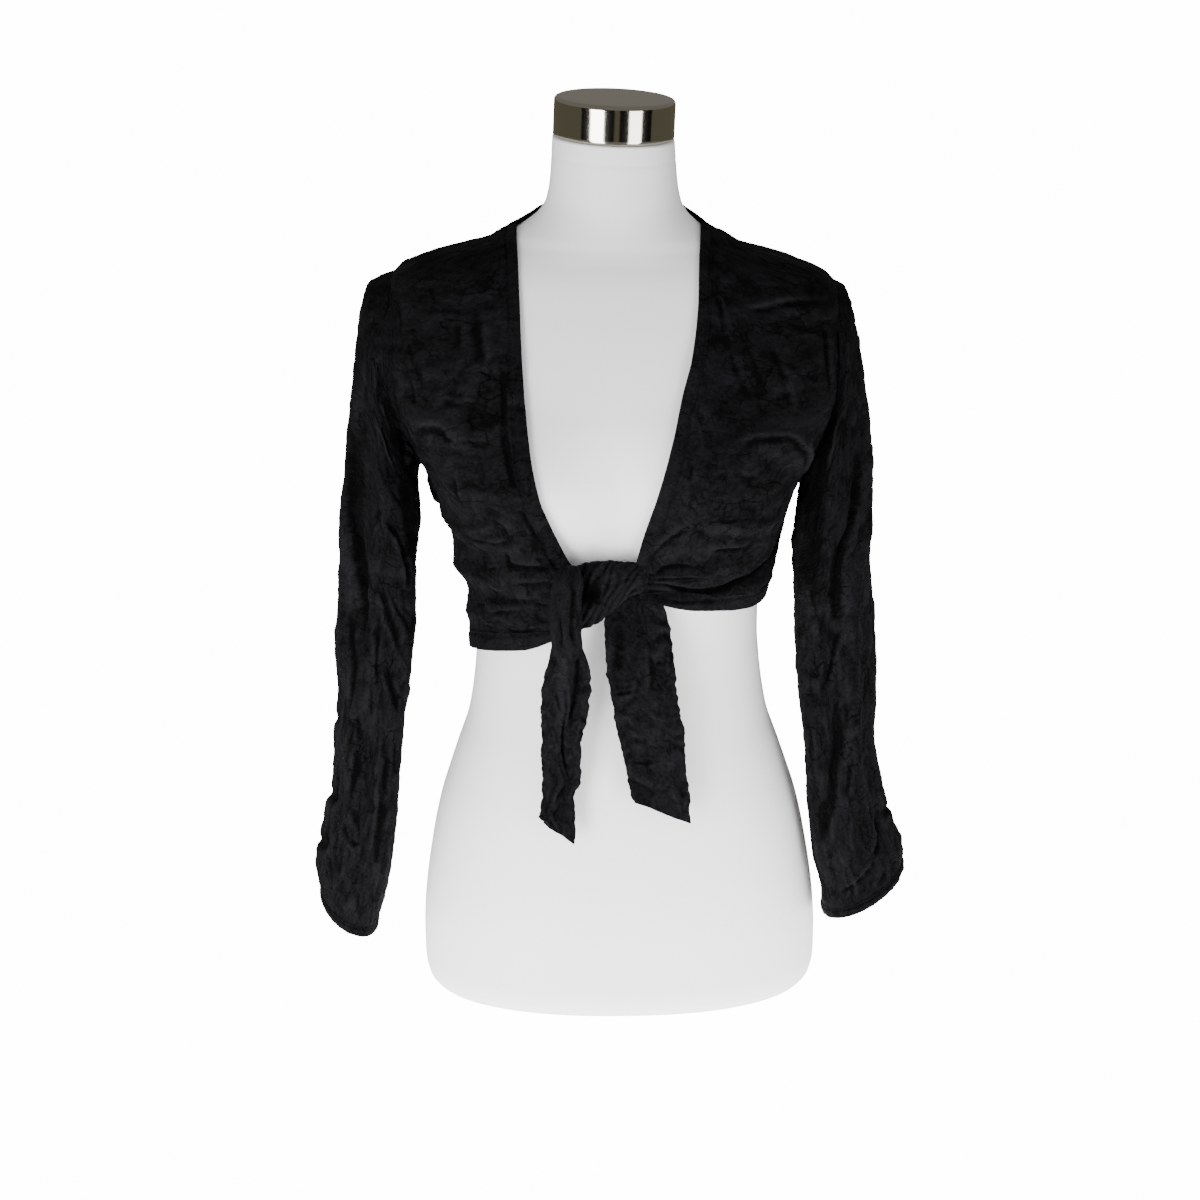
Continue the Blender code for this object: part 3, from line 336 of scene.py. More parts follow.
@dataclass(frozen=True)
class Crush:
    """Crushed texture that is set into the knit, as puffs between sharp little creases.

    Attributes:
        across: Size of a puff round the piece.
        along: Size of a puff up and down.
        depth: Height of the puffs over their creases.
        sway: How far the pattern's lines wander, in puffs.
        patches: Number of fuller and flatter patches round the piece.
        puff: Share of the puffs in the height.
        ridge: Share of the ridges that cut them.
        sunk: How far all of it is sunk.
    """

    across: float
    along: float
    depth: float
    seed: int
    sway: float = 0.6
    patches: int = 8
    patch_length: float = 0.05
    patchiness: Pair = (0.75, 0.6)
    puff: float = 1.1
    ridge: float = 0.6
    sunk: float = 0.15

    def height(self, across: Grid, along: Grid, girth: float) -> Grid:
        """Height of the texture.

        Args:
            across: Place round the piece in metres.
            along: Place up or down it in metres.
            girth: Distance after which the pattern closes on itself.

        Returns:
            The height at each point, about as much above nought as below.
        """
        cells = max(2, round(girth / self.across))
        x, y = across / girth * cells, along / self.along
        slow = lattice_noise(x, y * 0.6, cells, self.seed + 1)
        other = lattice_noise(x, y * 0.7 + 9.5, cells, self.seed + 2)
        x, y = x + self.sway * slow, y + self.sway * other
        puffs = np.abs(lattice_noise(x, y, cells, self.seed))
        ridges = np.abs(lattice_noise(x + 0.5 * other, y + 3.3, cells, self.seed + 3))
        patch = x * 0 + across / girth * self.patches, along / self.patch_length
        least, more = self.patchiness
        patchy = least + more * lattice_noise(*patch, self.patches, self.seed + 4)
        return self.depth * patchy * (self.puff * puffs - self.ridge * ridges - self.sunk)


@dataclass(frozen=True)
class Relief:
    """All the fine form that is set into one part of the cloth.

    Attributes:
        radius: Distance of the cloth from the axis that its angles turn about.
        full: Height that counts as the top of the creases in the finish.
    """

    radius: float
    creases: tuple[Crease, ...]
    crushes: tuple[Crush, ...]
    full: float = 0.0012

    def height(self, angle: Grid, place: Grid) -> Grid:
        """Summed height of the creases and of the crushed texture.

        Args:
            angle: Degrees round the form or limb.
            place: Metres along it.

        Returns:
            Heights in metres.
        """
        scale = math.radians(self.radius)
        total = 0.0 * (angle + place)
        for crease in self.creases:
            total = total + crease.height(angle, place, scale)
        for crush in self.crushes:
            total = total + crush.height(angle * scale + 0 * place, place + 0 * angle, 360 * scale)
        return total

    def shade(self, height: Grid) -> Grid:
        """Heights of the fine form as shares from -1 to 1, for the finish."""
        # These shares become the knit's painted shade in the hollows and painted light on the rises.
        return np.clip(height / self.full, -1.0, 1.0)


# ---- Meshes ----


@dataclass
class Sheet:
    """A grid of points, each with its place on the flat cloth and a height from -1 to 1 in its creases.

    Attributes:
        girth: Length round a row that closes on itself, nought where it is open.
    """

    points: Grid
    across: Grid
    along: Grid
    relief: Grid
    girth: float = 0.0


@dataclass
class MeshMaker:
    """Gathers grids, rims and end faces into one closed mesh."""

    points: list[Grid] = field(default_factory=list)
    flats: list[Grid] = field(default_factory=list)
    reliefs: list[Grid] = field(default_factory=list)
    faces: list[Grid] = field(default_factory=list)
    places: list[Grid] = field(default_factory=list)
    count: int = 0

    def add_sheet(self, sheet: Sheet, shown: bool = True) -> Grid:
        """Adds a grid's points and faces.

        Args:
            sheet: The grid.
            shown: Whether its faces look along its own normals and not against them.

        Returns:
            The numbers of its points, rows by columns.
        """
        rows, columns = sheet.points.shape[:2]
        flat = np.stack([sheet.across, sheet.along], axis=-1)
        numbers = self.count + np.arange(rows * columns).reshape(rows, columns)
        self.points.append(sheet.points.reshape(-1, 3))
        self.flats.append(flat.reshape(-1, 2))
        self.reliefs.append(sheet.relief.ravel())
        self.count += rows * columns
        if sheet.girth:
            numbers = np.concatenate([numbers, numbers[:, :1]], axis=1)
            flat = np.concatenate([flat, flat[:, :1] + [sheet.girth, 0.0]], axis=1)
        corners = [(slice(0, -1), slice(0, -1)), (slice(0, -1), slice(1, None))]
        corners += [(slice(1, None), slice(1, None)), (slice(1, None), slice(0, -1))]
        corners = corners if shown else corners[::-1]
        self.faces.append(np.stack([numbers[c] for c in corners], axis=-1).reshape(-1, 4))
        self.places.append(np.stack([flat[c] for c in corners], axis=2).reshape(-1, 4, 2))
        return numbers

    def add_rim(self, outer: Grid, inner: Grid) -> None:
        """Joins two lines of point numbers by a strip of faces.

        Args:
            outer: Point numbers on the outer side.
            inner: Those on the inner side.
        """
        faces = np.stack([outer[:-1], inner[:-1], inner[1:], outer[1:]], axis=-1)
        self.faces.append(faces)
        self.places.append(np.concatenate(self.flats)[faces])

    def add_end(self, ring: Grid) -> None:
        """Closes a ring of point numbers with one face."""
        self.faces.append(ring[None, :])
        self.places.append(np.concatenate(self.flats)[ring][None])

    def add_solid(self, body: Sheet) -> None:
        """Adds a sheet of closed rows with a face on each end.

        Args:
            body: The sheet, its rows closed.
        """
        numbers = self.add_sheet(body)
        self.add_end(numbers[0, -1:0:-1])
        self.add_end(numbers[-1, :-1])

    def mesh(self, name: str, upright: bool = True) -> bpy.types.Mesh:
        """Makes the mesh, leaned as the form stands, smooth-shaded and facing outwards.

        Args:
            name: The mesh's name.
            upright: Whether its points are still upright and have to be leaned.

        Returns:
            The mesh, with a map of the flat cloth and the creases' height.
        """
        points = np.concatenate(self.points)
        points = LEAN.placed(points) if upright else points
        volume = sum(self.volume(points, faces) for faces in self.faces)
        turn = slice(None, None, -1 if volume < 0 else 1)
        loops = np.concatenate([faces[:, turn].ravel() for faces in self.faces])
        flat = np.concatenate([places[:, turn].reshape(-1, 2) for places in self.places])
        sizes = np.concatenate([np.full(len(faces), faces.shape[1]) for faces in self.faces])
        mesh = bpy.data.meshes.new(name)
        mesh.vertices.add(len(points))
        mesh.vertices.foreach_set("co", points.astype(np.float32).ravel())
        mesh.loops.add(len(loops))
        mesh.loops.foreach_set("vertex_index", loops.astype(np.int32))
        mesh.polygons.add(len(sizes))
        starts = np.concatenate([[0], np.cumsum(sizes)[:-1]])
        mesh.polygons.foreach_set("loop_start", starts.astype(np.int32))
        mesh.update(calc_edges=True)
        mesh.uv_layers.new(name=FLAT_MAP).uv.foreach_set("vector", flat.astype(np.float32).ravel())
        creases = mesh.attributes.new(RELIEF_LAYER, "FLOAT", "POINT")
        creases.data.foreach_set("value", np.concatenate(self.reliefs).astype(np.float32))
        mesh.shade_smooth()
        return mesh

    @staticmethod
    def volume(points: Grid, faces: Grid) -> float:
        """Signed volume between the origin and the faces.

        Args:
            points: The mesh's points.
            faces: Point numbers of its faces.

        Returns:
            Cubic metres, below 0 where the faces look inward.
        """
        first = points[faces[:, 0]]
        total = 0.0
        for second, third in zip(faces.T[1:-1], faces.T[2:]):
            total += float((np.cross(first, points[second]) * points[third]).sum())
        return total


FLAT_MAP = "flat_cloth"
# Point layer of the creases' height, which the knit paints as shade in the hollows and as light on the rises.
RELIEF_LAYER = "relief"


def shell_mesh(name: str, outer: Sheet, inner: Sheet) -> bpy.types.Mesh:
    """A closed shell between two sheets, joined by rims at its ends and open sides.

    Args:
        name: The mesh's name.
        outer: The sheet that shows.
        inner: The sheet behind it, with as many columns, and with as many rows if it is open.

    Returns:
        The mesh.
    """
    maker = MeshMaker()
    top = maker.add_sheet(outer)
    under = maker.add_sheet(inner, shown=False)
    maker.add_rim(under[0], top[0])
    maker.add_rim(top[-1], under[-1])
    if not outer.girth:
        maker.add_rim(top[:, 0], under[:, 0])
        maker.add_rim(under[:, -1], top[:, -1])
    return maker.mesh(name)


def loft_mesh(name: str, body: Sheet, upright: bool = True) -> bpy.types.Mesh:
    """A closed solid through the closed rows of a sheet, with a face on each end.

    Args:
        name: The mesh's name.
        body: The sheet.
        upright: Whether its points are still upright and have to be leaned.

    Returns:
        The mesh.
    """
    maker = MeshMaker()
    maker.add_solid(body)
    return maker.mesh(name, upright)


# ---- Finishes ----


class Slot(Enum):
    """Material slots of the part."""

    KNIT = "black_knit"
    SHELL = "form_shell"
    METAL = "cap_metal"


@dataclass(frozen=True)
class Link:
    """A node's output that can be used in sums."""

    socket: bpy.types.NodeSocket
    shader: "Shader"

    def math(self, operation: str, *others: Value) -> "Link":
        """One step of arithmetic on this value and others."""
        inputs = dict(enumerate((self, *others)))
        return self.shader.add("ShaderNodeMath", "Value", {"operation": operation}, inputs)

    def __add__(self, other: Value) -> "Link":
        """Sum."""
        return self.math("ADD", other)

    def __sub__(self, other: Value) -> "Link":
        """Difference."""
        return self.math("SUBTRACT", other)

    def __rsub__(self, other: Value) -> "Link":
        """Difference from a number."""
        return (self * -1.0) + other

    def __mul__(self, other: Value) -> "Link":
        """Product."""
        return self.math("MULTIPLY", other)

    __radd__ = __add__
    __rmul__ = __mul__

    def clamped(self) -> "Link":
        """The value, kept between 0 and 1."""
        return self.math("MINIMUM", 1.0).math("MAXIMUM", 0.0)


class Shader:
    """The nodes of one material, ending in one shader."""

    def __init__(self, name: str) -> None:
        """Makes an empty material.

        Args:
            name: The material's name.
        """
        self.material = bpy.data.materials.new(name)
        self.material.use_nodes = True
        self.tree = self.material.node_tree
        self.surface = self.tree.nodes["Principled BSDF"]

    def add(
        self, kind: str, output: Key, settings: Mapping[str, Any], inputs: Mapping[Key, Any]
    ) -> Link:
        """Adds a node.

        Args:
            kind: The node's type.
            output: The output that is wanted, by name or number.
            settings: Its settings, which are set first, such as an operation.
            inputs: Values or links for its sockets, by name or number.

        Returns:
            The output.
        """
        node = self.tree.nodes.new(kind)
        for name, value in settings.items():
            setattr(node, name, value)
        for name, value in inputs.items():
            self.feed(node.inputs[name], value)
        return Link(node.outputs[output], self)

    def feed(self, socket: bpy.types.NodeSocket, value: Any) -> None:
        """Links a socket to a link, or sets it to a value.

        Args:
            socket: The socket to feed.
            value: The link or the plain value.
        """
        if isinstance(value, Link):
            self.tree.links.new(value.socket, socket)
        else:
            socket.default_value = value

    def place(self) -> Link:
        """Places on the piece, in metres."""
        return self.add("ShaderNodeTexCoord", "Object", {}, {})

    def axis(self, vector: Link, axis: str) -> Link:
        """One axis of a place."""
        return self.add("ShaderNodeSeparateXYZ", axis, {}, {"Vector": vector})

    def vector(self, operation: str, *inputs: Any) -> Link:
        """One step of arithmetic on places."""
        return self.add("ShaderNodeVectorMath", "Vector", {"operation": operation}, dict(enumerate(inputs)))

    def mix(self, share: Link, first: Sequence[float], second: Sequence[float]) -> Link:
        """Mixes two colours by a share from 0, the first, to 1, the second."""
        colours = {0: share, 6: (*first, 1.0), 7: (*second, 1.0)}
        return self.add("ShaderNodeMix", 2, {"data_type": "RGBA"}, colours)

    def noise(self, place: Link, scale: float, detail: float, output: str = "Fac") -> Link:
        """Cloudy noise from 0 to 1."""
        return self.add("ShaderNodeTexNoise", output, {}, {"Vector": place, "Scale": scale, "Detail": detail})

    def raised(self, height: Link, distance: float, strength: float, normal: Optional[Link] = None) -> Link:
        """Normals of a surface that is raised by a height.

        Args:
            height: The height, from 0 to 1.
            distance: How much a height of 1 is, in metres.
            strength: Share of the effect.
            normal: Normals that it adds to.

        Returns:
            The new normals.
        """
        inputs: dict[Key, Any] = {"Height": height, "Distance": distance, "Strength": strength}
        if normal is not None:
            inputs["Normal"] = normal
        return self.add("ShaderNodeBump", "Normal", {}, inputs)

    def finish(self, **sockets: Any) -> bpy.types.Material:
        """Sets the surface's sockets, named with underscores for spaces.

        Args:
            sockets: Values or links.

        Returns:
            The material.
        """
        for name, value in sockets.items():
            self.feed(self.surface.inputs[name.replace("_", " ")], value)
        return self.material


@dataclass(frozen=True)
class Finish:
    """What every finish has: its material's name and the part's slot that it stands for."""

    title: str
    slot: Slot

    def material(self) -> bpy.types.Material:
        """The finish's material, made once."""
        return bpy.data.materials.get(self.title) or self.build(Shader(self.title))

    def build(self, shader: Shader) -> bpy.types.Material:
        """Builds the nodes."""
        raise NotImplementedError


@dataclass(frozen=True)
class KnitFinish(Finish):
    """Fine black knit with a crushed surface, whose pairs are for coarse and fine creases.

    Attributes:
        grain: How much closer its little creases lie across and along the cloth.
        crease_shade_colour: Colour of the painted shade, deepest in the creases and hollows.
        top: Colour of the painted light, fullest on the puffs and ridges.
        wale: Width of a column of stitches.
        course: Height of a row of stitches.
        cells: Number of crumpled cells in a metre.
        sharpness: How many times narrower than the facets the creases are.
        crumpled: How strongly the painted shade of the creases, and the facets' own tones, show in its colour.
        sways: How far the creases stray.
        stretches: How much closer they lie across and along than the grain has it.
        crease_shading: How much painted shade darkens the coarse and fine creases.
        facet_tones: How much the facets differ.
        tone: Share of the top colour where nothing is raised.
        roughness: Roughness on the puffs and in the creases.
    """

    grain: tuple[float, ...] = (1.0, 1.15, 1.0)
    crease_shade_colour: Colour = (0.0006, 0.0006, 0.0007)
    top: Colour = (0.0064, 0.0064, 0.0075)
    wale: float = 0.0012
    course: float = 0.0010
    stitch_depth: float = 0.00020
    cells: Pair = (62.0, 150.0)
    sharpness: Pair = (17.0, 10.0)
    crumpled: float = 1.0
    sways: Pair = (0.022, 0.009)
    stretches: tuple[tuple[float, ...], ...] = ((0.85, 1.25, 1.0), (1.3, 0.8, 1.0))
    cell_depths: Pair = (0.0012, 0.0007)
    crepe_depth: float = 0.0016
    crepe_scale: float = 330.0
    cloud_scale: float = 26.0
    fibre_scale: float = 1500.0
    crease_shading: Pair = (0.62, 0.40)
    facet_tones: Pair = (0.26, 0.20)
    tone: float = 0.12
    relief_shading: float = 0.45
    cloud_tone: float = 0.45
    crepe_tone: float = 0.8
    fibre_tone: float = 0.2
    stitch_tone: float = 0.06
    fold_strength: float = 0.8
    stitch_strength: float = 0.6
    roughness: Pair = (0.60, 0.88)
    sheen: float = 0.009
    sheen_roughness: float = 0.45
    sheen_tint: Colour = (0.72, 0.72, 0.80)
    gloss: float = 0.05

    def crumple(self, shader: Shader, flat: Link, layer: int) -> tuple[Link, Link]:
        """Crumpled facets with creases between some of them.

        Args:
            shader: The material's nodes.
            flat: Places on the flat cloth.
            layer: 0 for the coarse facets and 1 for the fine ones.

        Returns:
            1 in a crease and 0 between the creases, and each facet's own number from 0 to 1.
        """
        cells, sway = self.cells[layer], self.sways[layer]
        drift = shader.noise(flat, cells * 0.9, 4.0, "Color")
        moved = shader.vector("MULTIPLY_ADD", drift, (sway, sway, 0.0), flat)
        stretch = tuple(side * own for side, own in zip(self.grain, self.stretches[layer]))
        drawn = shader.vector("MULTIPLY", moved, stretch)
        facets = {"voronoi_dimensions": "2D"}
        read = {"Vector": drawn, "Scale": cells}
        edges = shader.add("ShaderNodeTexVoronoi", "Distance", {"feature": "DISTANCE_TO_EDGE"} | facets, read)
        own = shader.axis(shader.add("ShaderNodeTexVoronoi", "Color", facets, read), "X")
        patches = (shader.noise(drawn, cells * 0.5, 2.0) * 5.0 - 2.3).clamped()
        return (1.0 - edges * self.sharpness[layer]).math("MAXIMUM", 0.0) * patches, own - 0.5

    def build(self, shader: Shader) -> bpy.types.Material:
        """Builds the knit from V-shaped stitches and crumpled creases on the flat cloth.

        Args:
            shader: The empty material's nodes.

        Returns:
            The material.
        """
        flat = shader.add("ShaderNodeUVMap", "UV", {"uv_map": FLAT_MAP}, {})
        across, along, place = shader.axis(flat, "X"), shader.axis(flat, "Y"), shader.place()
        aside = ((across * (1 / self.wale)).math("FRACT") - 0.5).math("ABSOLUTE") * 2.0
        loops = ((along * (1 / self.course) + aside * 0.5) * (2 * math.pi)).math("SINE")
        stitches = (1.0 - aside * aside) * (loops * 0.35 + 0.65)
        fibres = shader.noise(place, self.fibre_scale, 2.0)
        clouds = shader.noise(place, self.cloud_scale, 4.0)
        crepe = shader.noise(flat, self.crepe_scale, 4.0) - 0.5
        coarse, plates = self.crumple(shader, flat, 0)
        fine, chips = self.crumple(shader, flat, 1)
        relief = shader.add("ShaderNodeAttribute", "Fac", {"attribute_name": RELIEF_LAYER}, {})
        # Each facet takes its own tone at random; the creases between the facets are darkened as painted
        # shade.
        facets = plates * self.facet_tones[0] + chips * self.facet_tones[1]
        facets = facets - coarse * self.crease_shading[0] - fine * self.crease_shading[1]
        # Painted shade and painted highlight: the colour darkens where the relief layer, the crepe and the
        # stitches lie low, and lightens where they are raised; the clouds and fibres are the knit's own uneven
        # tone.
        painted_light = relief * self.relief_shading + clouds * self.cloud_tone + crepe * self.crepe_tone
        painted_light = painted_light + fibres * self.fibre_tone + stitches * self.stitch_tone + self.tone
        painted_light = (painted_light + facets * self.crumpled).clamped()
        low, high = self.roughness
        folds = shader.raised(plates * 0.5 - coarse, self.cell_depths[0], self.fold_strength)
        folds = shader.raised(chips * 0.5 - fine, self.cell_depths[1], self.fold_strength, folds)
        folds = shader.raised(crepe, self.crepe_depth, self.fold_strength, folds)
        normal = shader.raised(stitches + fibres * 0.5, self.stitch_depth, self.stitch_strength, folds)
        return shader.finish(
            Base_Color=shader.mix(painted_light, self.crease_shade_colour, self.top),
            Roughness=painted_light * (low - high) + high,
            Normal=normal,
            Sheen_Weight=self.sheen,
            Sheen_Roughness=self.sheen_roughness,
            Sheen_Tint=(*self.sheen_tint, 1.0),
            Specular_IOR_Level=self.gloss,
        )


@dataclass(frozen=True)
class ThreadFinish(Finish):
    """Twisted sewing thread, whose twist is the length of one turn of its strands."""

    colour: Colour = (0.0040, 0.0040, 0.0045)
    twist: float = 0.0006
    between: float = 0.6
    rib_height: float = 0.0001
    roughness: Pair = (0.55, 0.7)
    gloss: float = 0.05

    def build(self, shader: Shader) -> bpy.types.Material:
        """Builds the strands as slanting ribs.

        Args:
            shader: The empty material's nodes.

        Returns:
            The material.
        """
        read = {"Vector": shader.place(), "Scale": 1 / self.twist / 10, "Distortion": 0.5}
        ribs = shader.add("ShaderNodeTexWave", "Fac", {"bands_direction": "DIAGONAL"}, read)
        low, high = self.roughness
        # Painted shade between the strands: the colour is darker where the ribs lie low.
        shade = shader.mix(ribs, tuple(self.between * part for part in self.colour), self.colour)
        return shader.finish(
            Base_Color=shade,
            Roughness=ribs * (low - high) + high,
            Normal=shader.raised(ribs, self.rib_height, 0.5),
            Specular_IOR_Level=self.gloss,
        )


@dataclass(frozen=True)
class ShellFinish(Finish):
    """Smooth white satin shell of the dress form, with a shade for its faint marks."""

    white: Colour = (0.79, 0.79, 0.80)
    shade: Colour = (0.76, 0.76, 0.77)
    cloud_scale: float = 9.0
    grain_scale: float = 700.0
    scuff_scale: float = 60.0
    roughness: float = 0.36
    scuffed: float = 0.16
    grained: float = 0.06
    grain_height: float = 0.00012
    coat: Pair = (0.02, 0.35)
    gloss: float = 0.2

    def build(self, shader: Shader) -> bpy.types.Material:
        """Builds the satin with faint clouds and a very fine grain.

        Args:
            shader: The empty material's nodes.

        Returns:
            The material.
        """
        place = shader.place()
        clouds = shader.noise(place, self.cloud_scale, 4.0)
        grain = shader.noise(place, self.grain_scale, 2.0)
        scuffs = shader.noise(place, self.scuff_scale, 5.0)
        return shader.finish(
            Base_Color=shader.mix(clouds, self.shade, self.white),
            Roughness=scuffs * self.scuffed + grain * self.grained + self.roughness,
            Normal=shader.raised(grain + scuffs * 2.0, self.grain_height, 0.25),
            Coat_Weight=self.coat[0],
            Coat_Roughness=self.coat[1],
            Specular_IOR_Level=self.gloss,
        )


@dataclass(frozen=True)
class MetalFinish(Finish):
    """Bright metal with a trace of spinning lines, dull and rougher where it is worn."""

    bright: Colour = (0.66, 0.63, 0.57)
    dull: Colour = (0.50, 0.47, 0.40)
    roughness: Pair = (0.07, 0.20)
    ring_scale: float = 40.0
    ring_squeeze: float = 60.0
    ring_height: float = 0.00004
    speck_scale: float = 900.0

    def build(self, shader: Shader) -> bpy.types.Material:
        """Builds fine rings round the turned cap, with small specks.

        Args:
            shader: The empty material's nodes.

        Returns:
            The material.
        """
        place = shader.place()
        rings = shader.noise(shader.vector("MULTIPLY", place, (1, 1, self.ring_squeeze)), self.ring_scale, 3.0)
        marks = (shader.noise(place, self.speck_scale, 2.0) * 6.0 - 4.1).clamped()
        worn = (rings * 0.5 + marks * 0.5).math("MINIMUM", 1.0)
        low, high = self.roughness
        return shader.finish(
            Base_Color=shader.mix(worn, self.bright, self.dull),
            Metallic=1.0,
            Roughness=worn * (high - low) + low,
            Normal=shader.raised(rings, self.ring_height, 0.12),
        )


@dataclass(frozen=True)
class FloorFinish(Finish):
    """Plain pale floor that glows and returns a small share of the light, as matt gives it."""

    white: tuple[float, float, float, float] = (0.93, 0.93, 0.93, 1.0)
    glow: float = 16.0
    matt: float = 0.1

    def build(self, shader: Shader) -> bpy.types.Material:
        """A plain matt white.

        Args:
            shader: The wrapper of the material's nodes.

        Returns:
            The material.
        """
        return shader.finish(
            Base_Color=(*(self.matt * part for part in self.white[:3]), 1.0),
            Roughness=0.9,
            Specular_IOR_Level=0.0,
            Emission_Color=self.white,
            Emission_Strength=self.glow,
        )


BLACK_KNIT = KnitFinish("black_crushed_knit", Slot.KNIT)
SLEEVE_KNIT = KnitFinish("black_lengthwise_knit", Slot.KNIT, (1.35, 0.7, 1.0))
TIE_KNIT = KnitFinish("black_tie_knit", Slot.KNIT, crumpled=0.45)
BLACK_THREAD = ThreadFinish("black_thread", Slot.KNIT)
WHITE_SHELL = ShellFinish("white_satin_shell", Slot.SHELL)
BRIGHT_METAL = MetalFinish("bright_cap_metal", Slot.METAL)
PALE_FLOOR = FloorFinish("pale_floor", Slot.SHELL)
LIT_FLOOR = FloorFinish("lit_floor", Slot.SHELL, glow=6.0)
DARK_WALL = FloorFinish("dark_wall", Slot.METAL, (0.0, 0.0, 0.0, 1.0), 0.0)
DIM_WALL = FloorFinish("dim_wall", Slot.METAL, (0.105, 0.099, 0.070, 1.0), 1.0)


class Hold(Enum):
    """How a sheet of cloth is held."""

    DRAPED = "draped"
    HUNG = "hung"
    GATHERED = "gathered"


@dataclass(frozen=True)
class Cut:
    """Flat size of the cloth that shows of a piece, with its area where it isn't a rectangle."""

    width: float
    length: float
    area: Optional[float] = None

    def declare(
        self, piece: bpy.types.Object, hold: Hold, rests_on: Sequence[str], *sewn: bpy.types.Object
    ) -> None:
        """Does nothing: the piece, its hold, what it rests on and the pieces sewn on it are not used."""


def add_object(name: str, data: bpy.types.ID) -> bpy.types.Object:
    """Adds an object to the scene.

    Args:
        name: The object's name.
        data: Its mesh, light or camera.

    Returns:
        The new object.
    """
    added = bpy.data.objects.new(name, data)
    bpy.context.scene.collection.objects.link(added)
    return added


def add_piece(name: str, mesh: bpy.types.Mesh, finish: Finish, *nodes: str) -> bpy.types.Object:
    """Adds a piece that rides on the part.

    Args:
        name: The piece's name.
        mesh: Its mesh.
        finish: Its finish.
        nodes: The part's nodes that it stands for.

    Returns:
        The piece.
    """
    mesh.materials.append(finish.material())
    piece = add_object(name, mesh)
    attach(piece, "root")
    if nodes:
        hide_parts(*nodes)
    LOG.info("%s: %d faces", name, len(mesh.polygons))
    return piece


@dataclass(frozen=True)
class Seam:
    """A line of stitches along a row of a sheet's grid, or along a column where it isn't across."""

    index: int
    across: bool = True
    closed: bool = False


STITCH_PITCH = 0.0034
STITCH_LENGTH = 0.0025
STITCH_RADIUS = 0.00024
STITCH_SHARES = (0.0, 0.12, 0.5, 0.88, 1.0)
STITCH_RISE = (-0.5, 0.5, 0.9, 0.5, -0.5)
STITCH_GIRTH = (0.6, 1.0, 1.0, 1.0, 0.6)
STITCH_SIDES = 6


def add_stitches(name: str, sheet: Sheet, seam: Seam) -> bpy.types.Object:
    """Lays sewing stitches along a line of a sheet's grid.

    Args:
        name: The piece's name.
        sheet: The sheet that they are sewn into.
        seam: The line.

    Returns:
        The stitches, as one piece.
    """
    pick = (seam.index,) if seam.across else (slice(None), seam.index)
    line, normals = sheet.points[pick], grid_normals(sheet.points, bool(sheet.girth))[pick]
    middle = line.mean(axis=0) * [1, 1, 0]
    if float(((line - middle) * normals).sum()) < 0:
        normals = -normals
    if seam.closed:
        line, normals = np.vstack([line, line[:1]]), np.vstack([normals, normals[:1]])
    length = np.concatenate([[0.0], np.cumsum(np.linalg.norm(np.diff(line, axis=0), axis=1))])
    count = max(2, int(length[-1] / STITCH_PITCH))
    starts = (np.arange(count) + 0.15) * length[-1] / count
    places = starts[:, None] + np.array(STITCH_SHARES) * STITCH_LENGTH
    centre = np.stack([np.interp(places, length, line[:, axis]) for axis in range(3)], axis=-1)
    outward = unit(np.stack([np.interp(places, length, normals[:, axis]) for axis in range(3)], axis=-1))
    centre = centre + outward * (np.array(STITCH_RISE) * STITCH_RADIUS)[:, None]
    tangent = unit(centre[:, -1:] - centre[:, :1])
    aside = unit(np.cross(outward, tangent + 0 * outward))
    turn = np.radians(np.arange(STITCH_SIDES) * 360 / STITCH_SIDES)[:, None]
    radius = STITCH_RADIUS * np.array(STITCH_GIRTH)[:, None, None]
    ring = np.cos(turn) * outward[:, :, None] + np.sin(turn) * aside[:, :, None]
    maker = MeshMaker()
    for rings in centre[:, :, None] + radius * ring:
        flat = 0 * rings[..., 0]
        maker.add_solid(Sheet(rings, flat, flat, flat, 0.001))
    return add_piece(name, maker.mesh(name), BLACK_THREAD)


def add_cloth(
    node: str,
    sides: tuple[Sheet, Sheet],
    finish: Finish,
    cut: Cut,
    hold: Hold,
    rests_on: Sequence[str],
    seam: Optional[Seam] = None,
) -> None:
    """Makes a thin piece of cloth with its stitches.

    Args:
        node: The part's node that it stands for, which names it.
        sides: Its outer and its inner side.
        finish: Its finish.
        cut: Its flat size.
        hold: How it is held.
        rests_on: Names of the pieces that carry it.
        seam: The line along which it is sewn down.
    """
    title = f"{node}_knit"
    piece = add_piece(title, shell_mesh(title, *sides), finish, node)
    sewn = [add_stitches(f"{node}_stitches", sides[0], seam)] if seam else []
    cut.declare(piece, hold, rests_on, *sewn)


# ---- Dress form ----


@dataclass(frozen=True)
class Lean:
    """How the form stands: its shoulders and neck slope down to +X and its neck nods forward."""

    axis_x: float = 0.0076
    axis_y: float = 0.0126
    shoulder_slope: float = 0.026
    neck_slope: float = 0.049
    neck_nod: float = 0.075
    shoulder_levels: Pair = (0.42, 0.62)
    neck_levels: Pair = (0.63, 0.715)
    nod_levels: Pair = (0.665, 0.72)
    neck_middle_y: float = 0.0095

    def placed(self, points: Grid) -> Grid:
        """Upright points, leaned as the form stands and moved to its axis.

        Args:
            points: Upright points in metres.

        Returns:
            The points in their place.
        """
        x, y, z = points[..., 0], points[..., 1], points[..., 2]
        slope = self.shoulder_slope * step_up(z, *self.shoulder_levels)
        slope = slope + (self.neck_slope - self.shoulder_slope) * step_up(z, *self.neck_levels)
        nod = self.neck_nod * step_up(z, *self.nod_levels)
        leaned = z - x * slope + (y - self.neck_middle_y) * nod
        return np.stack([x + self.axis_x, y + self.axis_y, leaned], axis=-1)


LEAN = Lean()


